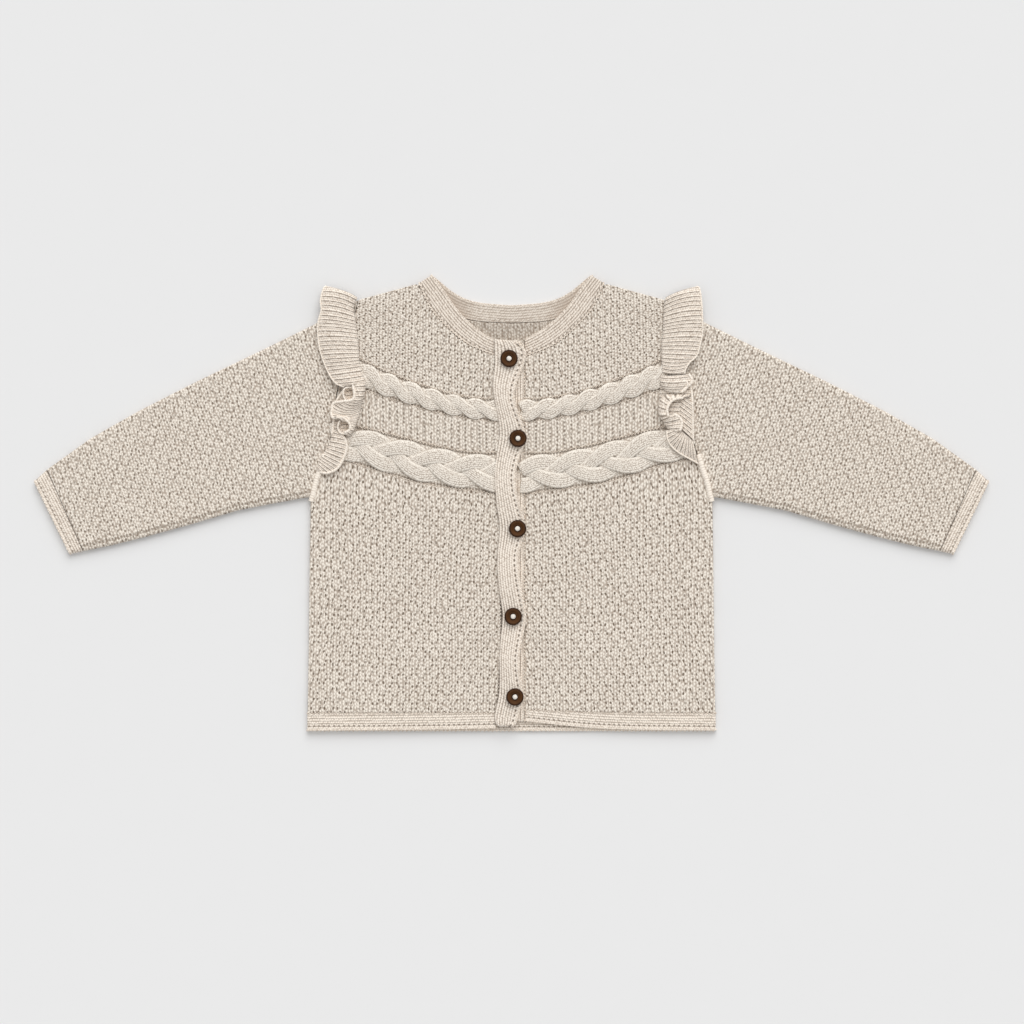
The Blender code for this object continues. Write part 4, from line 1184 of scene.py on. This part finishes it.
def through(points, count):
    """So many points of a smooth curve through rows of points, evenly spread between the rows."""
    points = np.asarray(points, dtype=float)
    places = np.linspace(0.0, len(points) - 1.0, count)
    slopes = np.gradient(points, axis=0)
    row = np.minimum(places.astype(int), len(points) - 2)
    t = (places - row)[:, None]
    curve = (2 * t**3 - 3 * t**2 + 1) * points[row] + (t**3 - 2 * t**2 + t) * slopes[row]
    return curve + (3 * t**2 - 2 * t**3) * points[row + 1] + (t**3 - t**2) * slopes[row + 1]


def two_layers(first, second, kept):
    """Points of two grids as one list, and what is kept on both."""
    kept = kept.reshape(-1, kept.shape[-1])
    return np.concatenate((first.reshape(-1, 3), second.reshape(-1, 3))), np.concatenate((kept, kept))


def rim(path, radius, closed=False):
    """A round rim along a path of points. Kept are its stitch and zones."""
    heading = np.roll(path, -1, axis=0) - np.roll(path, 1, axis=0) if closed else np.gradient(path, axis=0)
    heading = unit(heading)
    aside = unit(np.cross(heading, (0.0, 0.0, 1.0)))
    above = np.cross(aside, heading)
    angles = full_turn(RIM_SIDES)[:, None]
    points = path[:, None] + radius * (np.cos(angles) * aside[:, None] + np.sin(angles) * above[:, None])
    ring = np.arange(len(path) * RIM_SIDES).reshape(-1, RIM_SIDES)
    if closed:
        faces = list(strip_faces(ring, np.roll(ring, -1, axis=0))[:, ::-1])
    else:
        faces = [*strip_faces(ring[:-1], ring[1:])[:, ::-1], ring[0][::-1], ring[-1]]
    across = np.linspace(0.0, RIM_RIB, RIM_SIDES)
    kept = vectors(points, across, distances(path)[:, None], NO_SEAM, 0.0, 0.0, 1.0)
    return points.reshape(-1, 3), faces, kept.reshape(-1, 6)


def fold(rows):
    """A ruffled stretch of a frill: ribs run from its seam edge over its crown to its free edge. Gives
    the sheet, and the path of its free edge."""
    rows = np.array(rows)
    count = round(max(distances(rows[:, 2])[-1], SHORTEST_FOLD) / RIB_GRID)
    seam, crown, free = (through(rows[:, k], count)[:, None] for k in range(3))
    steps = np.linspace(0.0, 1.0, FOLD_STEPS)[:, None]
    control = 2.0 * crown - (seam + free) / 2.0
    face = (1 - steps) ** 2 * seam + 2 * steps * (1 - steps) * control + steps**2 * free
    run = distances(free[:, 0])[:, None]
    run = run + 0.45 * np.sin(run / 4.1) + 0.35 * np.sin(run / 2.3 + 1.0)
    aside = distances(face, axis=1)
    normal = unit(np.cross(np.gradient(face, axis=0), np.gradient(face, axis=1)))
    if normal[..., 2].mean() < 0.0:
        normal = -normal
    ribs = FRILL_RIB * (rib_height(run, FRILL_PITCH) - 0.6) * np.clip(steps[:, 0] * 6.0, 0.15, 1.0)
    rolled = np.clip(1.6 - (aside[:, -1:] - aside), 0.0, 1.0)
    kept = vectors(face, run, aside, NO_SEAM, 1.0 - 0.7 * rolled, 0.0, rolled)
    points, kept = two_layers(face + normal * ribs[..., None], face - normal * FRILL_WALL, kept)
    layer = len(points) // 2
    border = grid_border(count, FOLD_STEPS)
    faces = [*grid_faces(count, FOLD_STEPS), *grid_faces(count, FOLD_STEPS, layer)[:, ::-1]]
    return (points, faces + list(strip_faces(border, border + layer)), kept), free[:, 0]


def loop(x, y, z, reach_x, reach_y, tilt):
    """A small loop of the free edge, which stands over a funnel of cloth that goes down to the seam."""
    angles = full_turn(LOOP_STEPS)
    depth = np.linspace(0.0, 1.0, LOOP_ROWS)[:, None]
    reach = (1.0 - 0.55 * depth) * (1.0 + 0.08 * np.sin(3.0 * angles + x))
    level = z + 4.0 * tilt * np.cos(angles) - LOOP_DEPTH * depth
    outward = np.stack([np.cos(angles), np.sin(angles), np.zeros(LOOP_STEPS)], axis=-1)
    around = reach[..., None] * outward * (reach_x, reach_y, 0.0)
    inner = np.concatenate((around[..., :2] + (x, y), level[..., None]), axis=-1)
    outer = inner + LOOP_WALL * outward
    kept = vectors(inner, 4.0 * angles, LOOP_DEPTH * depth, NO_SEAM, 0.6, 0.0, 0.0)
    points, kept = two_layers(inner, outer, kept)
    inside, outside = np.arange(len(points)).reshape(2, LOOP_ROWS, LOOP_STEPS)
    faces = [*strip_faces(inside[:-1], inside[1:]), *strip_faces(outside[:-1], outside[1:])[:, ::-1]]
    faces += [*strip_faces(inside[0], outside[0])[:, ::-1], *strip_faces(inside[-1], outside[-1])]
    return [(points, faces, kept), rim((inner[0] + outer[0]) / 2.0, RIM_RADIUS, closed=True)]


def make_frill(side, sign, folds, loops):
    """One frill, from behind the shoulder to the underarm."""
    parts = []
    for name, rows in folds.items():
        sheet, edge = fold(rows)
        parts += [sheet, rim(edge[::2], RIM_RADIUS if name in THIN_RIMMED else THICK_RIM)]
    for numbers in loops:
        parts += loop(*numbers)
    parts.append(rim(through(FRILL_TAIL, TAIL_STEPS), TAIL_RADIUS))
    points, faces, kept = joined(parts)
    piece = new_piece(side + "_frill_rib", points * (sign, 1.0, 1.0), faces, frill_rib, "rib",
                      [side + "_frill"], stitch=kept[:, :3], zones=kept[:, 3:])
    # The folds don't all run the same way round, so their outward sides are found afresh.
    made = bmesh.new()
    made.from_mesh(piece.data)
    bmesh.ops.recalc_face_normals(made, faces=made.faces)
    made.to_mesh(piece.data)
    made.free()


make_frill("right", -1.0, RIGHT_FOLDS, RIGHT_LOOPS)
make_frill("left", 1.0, LEFT_FOLDS, LEFT_LOOPS)

# Buttons: five flat rings of dark turned wood, each with a rounded rim, a dished face and one thread
# knot through its middle. They pass through slits in the upper band and are sewn to the lower one.
# The profile is (reach, height), and a strand of a knot is (shift to one side, turn, height).
BUTTON_BASE = 6.9
BUTTON_PROFILE = (
    (1.55, 0.0), (1.5, 0.9), (1.75, 1.5), (2.3, 1.62), (2.9, 1.62), (3.3, 1.95), (3.6, 2.3),
    (4.2, 2.7), (4.8, 2.75), (5.35, 2.5), (5.7, 1.9), (5.75, 1.2), (5.5, 0.45), (4.6, 0.0),
)
BUTTON_STEPS = 72
PROFILE_STEPS = 40
WOOD_LIGHT = rgb(0.104, 0.043, 0.013)
WOOD_DARK = rgb(0.026, 0.010, 0.004)
WOOD_GRAIN = (900.0, 160.0, 400.0)
WOOD_BUMP = 0.03
THREAD = rgb(0.97, 0.92, 0.84)
THREAD_RADIUS = 0.42
KNOT_REACH = 1.45
KNOT_LEVEL = BUTTON_BASE + 1.45
KNOT_ARCH = 0.55
KNOT_STEPS = 9
KNOT_TURN = 0.7
KNOT_STRANDS = (
    (-0.9, 0.2, 0.0), (-0.3, 0.2, 0.1), (0.3, 0.2, 0.1), (0.9, 0.2, 0.0),
    (-0.35, 1.7, 0.35), (0.35, 1.7, 0.35),
)


def wood_cloth():
    """Dark wood: fine rings and grain, with a dull waxed shine. Its mesh keeps turned = (reach, 0, 0)."""
    material, surface, place = new_material("dark_wood", 0.6, 0.0)
    surface.inputs["Specular IOR Level"].default_value = 0.14
    streak = place.made("ShaderNodeMapping", {}, {"Vector": place, "Scale": WOOD_GRAIN})
    figure = streak.noise(1.0, 3.0)
    reach = from_attribute(place, "turned")[0]
    ring = reach.rise(4.1, 5.3) * 0.55 + reach.rise(2.9, 2.2) * 0.4
    share = (figure * 0.6 + place.noise(220.0, 2.0) * 0.6 - 0.3 + ring).upper().lower()
    return finished(material, surface, colour_mix(share, WOOD_LIGHT, WOOD_DARK), figure, WOOD_BUMP)


dark_wood = wood_cloth()
cream_thread, thread_surface, place = new_material("cream_thread", 0.8, 0.1)
twist = colour_mix(place.noise(2500.0, 2.0), THREAD, rgb(*THREAD[:3], 0.8))
twist.feeds(thread_surface, "Base Color")


def make_button(number, x, y):
    """One button, turned round its middle from a smoothed profile."""
    reach, level = through(BUTTON_PROFILE, PROFILE_STEPS).T[..., None]
    angles = full_turn(BUTTON_STEPS)
    around = np.broadcast_arrays(x + reach * np.cos(angles), y + reach * np.sin(angles), BUTTON_BASE + level)
    ring = np.stack(around, axis=-1)
    index = np.arange(PROFILE_STEPS * BUTTON_STEPS).reshape(-1, BUTTON_STEPS)
    faces = strip_faces(index, np.roll(index, -1, axis=0))[:, ::-1]
    turned = vectors(ring, reach, 0.0, 0.0).reshape(-1, 3)
    new_piece(f"button_{number}_turned", ring.reshape(-1, 3), faces, dark_wood, "button",
              [f"button_{number}"], turned=turned)


def make_knot(number, x, y):
    """The thread through a button's middle: strands side by side over the hole, then two across them."""
    parts = []
    for shift, turn, height in KNOT_STRANDS:
        reach = math.sqrt(KNOT_REACH**2 - shift**2)
        along = np.linspace(-reach, reach, KNOT_STEPS)
        arch = KNOT_ARCH * np.sqrt(np.clip(1.0 - (along / (reach + 0.1)) ** 2, 0.0, 1.0))
        turn += KNOT_TURN * number
        path = np.stack([x + along * math.cos(turn) - shift * math.sin(turn),
                         y + along * math.sin(turn) + shift * math.cos(turn),
                         KNOT_LEVEL + height + arch], axis=1)
        parts.append(rim(path, THREAD_RADIUS))
    points, faces = joined(parts)[:2]
    new_piece(f"button_{number}_thread", points, faces, cream_thread, "thread")


for number, (x, y) in enumerate(BUTTON_CENTRES, start=1):
    make_button(number, x, y)
    make_knot(number, x, y)

# Chain stitches: the small paired loops that link the pieces and close their edges. They run on both
# sides of each cable, along the hems, cuffs and neckband, down the edge of the upper band, and where a
# band is linked to the body. A chain's balls are pulled long and lean in turn to either side.
CHAIN_SEED = 7
CHAIN_LEVEL = 4.25


def chain_tree():
    """A node tree that lays leaning pairs of stitches along the edges of a mesh, and its inputs."""
    tree = bpy.data.node_groups.new("chain_stitches", "GeometryNodeTree")
    kinds = {"Rows": "Geometry", "Pitch": "Float", "Long": "Float", "Wide": "Float", "High": "Float",
             "Spread": "Float", "Lean": "Float", "Seed": "Int", "Yarn": "Material"}
    inputs = {}
    for label, kind in kinds.items():
        socket = tree.interface.new_socket(label, in_out="INPUT", socket_type="NodeSocket" + kind)
        inputs[label] = socket.identifier
    tree.interface.new_socket("Stitches", in_out="OUTPUT", socket_type="NodeSocketGeometry")
    entry = tree.nodes.new("NodeGroupInput")
    given = {label: Shade(tree, entry.outputs[label]) for label in inputs}
    made = given["Rows"].made
    curve = made("GeometryNodeMeshToCurve", {}, {"Mesh": given["Rows"]})
    even = made("GeometryNodeResampleCurve", {"mode": "LENGTH"}, {"Curve": curve, "Length": given["Pitch"]})
    tangent = made("GeometryNodeInputTangent", {}, {})
    index = made("GeometryNodeInputIndex", {}, {})
    side = index.maths("FLOORED_MODULO", index, 2.0) * 2.0 - 1.0
    aside = made("ShaderNodeVectorMath", {"operation": "CROSS_PRODUCT"}, {0: tangent, 1: (0.0, 0.0, 1.0)})
    shift = made("ShaderNodeVectorMath", {"operation": "SCALE"}, {0: aside, "Scale": side * given["Spread"]})
    spread = made("GeometryNodeSetPosition", {}, {"Geometry": even, "Offset": shift})
    facing = made("FunctionNodeAlignRotationToVector", {"axis": "X"}, {"Vector": tangent})
    angles = made("ShaderNodeCombineXYZ", {}, {"Z": side * given["Lean"]})
    turning = {"Rotation": facing, "Rotate By": made("FunctionNodeEulerToRotation", {}, {"Euler": angles})}
    turned = made("FunctionNodeRotateRotation", {"rotation_space": "LOCAL"}, turning)
    size = given["Long"].beside(given["Wide"], given["High"])
    limits = {2: 0.85, 3: 1.12, "Seed": given["Seed"]}
    uneven = made("FunctionNodeRandomValue", {"data_type": "FLOAT"}, limits, output=1)
    scale = made("ShaderNodeVectorMath", {"operation": "SCALE"}, {0: size, "Scale": uneven})
    ball = made("GeometryNodeMeshUVSphere", {}, {"Segments": 6, "Rings": 5, "Radius": 0.5})
    placing = {"Points": spread, "Instance": ball, "Rotation": turned, "Scale": scale}
    placed = made("GeometryNodeInstanceOnPoints", {}, placing)
    real = made("GeometryNodeRealizeInstances", {}, {"Geometry": placed})
    smooth = made("GeometryNodeSetShadeSmooth", {}, {"Geometry": real})
    done = made("GeometryNodeSetMaterial", {}, {"Geometry": smooth, "Material": given["Yarn"]})
    tree.links.new(done.socket, tree.nodes.new("NodeGroupOutput").inputs[0])
    return tree, inputs


chains, chain_inputs = chain_tree()
yarn_material, yarn_surface, place = new_material("chain_yarn", 0.9, 0.1)
plies = colour_mix(place.noise(700.0, 2.0).rise(0.3, 0.7), RIB_LIGHT, RIB_DEEP)
plies.feeds(yarn_surface, "Base Color")


def make_chain(name, paths, pitch, long, wide, high, spread, lean):
    """A chain along each path of points. Sizes are in millimetres and lean is in degrees."""
    points = np.concatenate(paths)
    # A chain at the table's level lies on it.
    points[:, 2] = np.maximum(points[:, 2], high * 0.6)
    points = points * MM
    edges, start = [], 0
    for path in paths:
        edges += [(start + step, start + step + 1) for step in range(len(path) - 1)]
        start += len(path)
    rows = bpy.data.meshes.new(name)
    rows.from_pydata(points.tolist(), edges, [])
    piece = shown(name, rows)
    weave = piece.modifiers.new("weave", "NODES")
    weave.node_group = chains
    values = {"Pitch": pitch * MM, "Long": long * MM, "Wide": wide * MM, "High": high * MM,
              "Spread": spread * MM, "Lean": math.radians(lean), "Seed": CHAIN_SEED, "Yarn": yarn_material}
    for label, value in values.items():
        weave[chain_inputs[label]] = value
    seen = piece.evaluated_get(bpy.context.evaluated_depsgraph_get())
    made = bpy.data.meshes.new_from_object(seen)
    piece.modifiers.remove(weave)
    piece.data = made
    made.name = name
    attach(piece, "root")


def cable_edges(sign):
    """Paths just outside both edges of both cables."""
    paths = []
    for number, shift in ((1, -0.9), (2, 0.9), (3, -0.9), (4, 0.9)):
        x = np.arange(9.0, SEAM_X[number] - 1.0, 1.5)
        y = line_height(number, x) + shift
        paths.append(np.stack([sign * x, y, np.full_like(x, CHAIN_LEVEL)], axis=1))
    return paths


for side, sign in SIDES:
    make_chain(side + "_cable_chain", cable_edges(sign), 1.05, 1.7, 0.7, 0.9, 0.35, 24.0)
make_chain("hem_chain", hem_edges, 1.35, 2.0, 1.0, 1.1, 0.3, 38.0)
make_chain("cuff_chain", cuff_edges, 1.3, 1.9, 1.0, 1.1, 0.3, 32.0)
make_chain("neck_chain", neck_edges, 1.1, 1.8, 0.9, 1.0, 0.35, 28.0)
make_chain("band_chain", band_edges, 1.1, 1.9, 1.0, 1.1, 0.4, 30.0)
make_chain("link_chain", linked_edges, 1.15, 1.6, 1.0, 0.7, 0.3, 30.0)
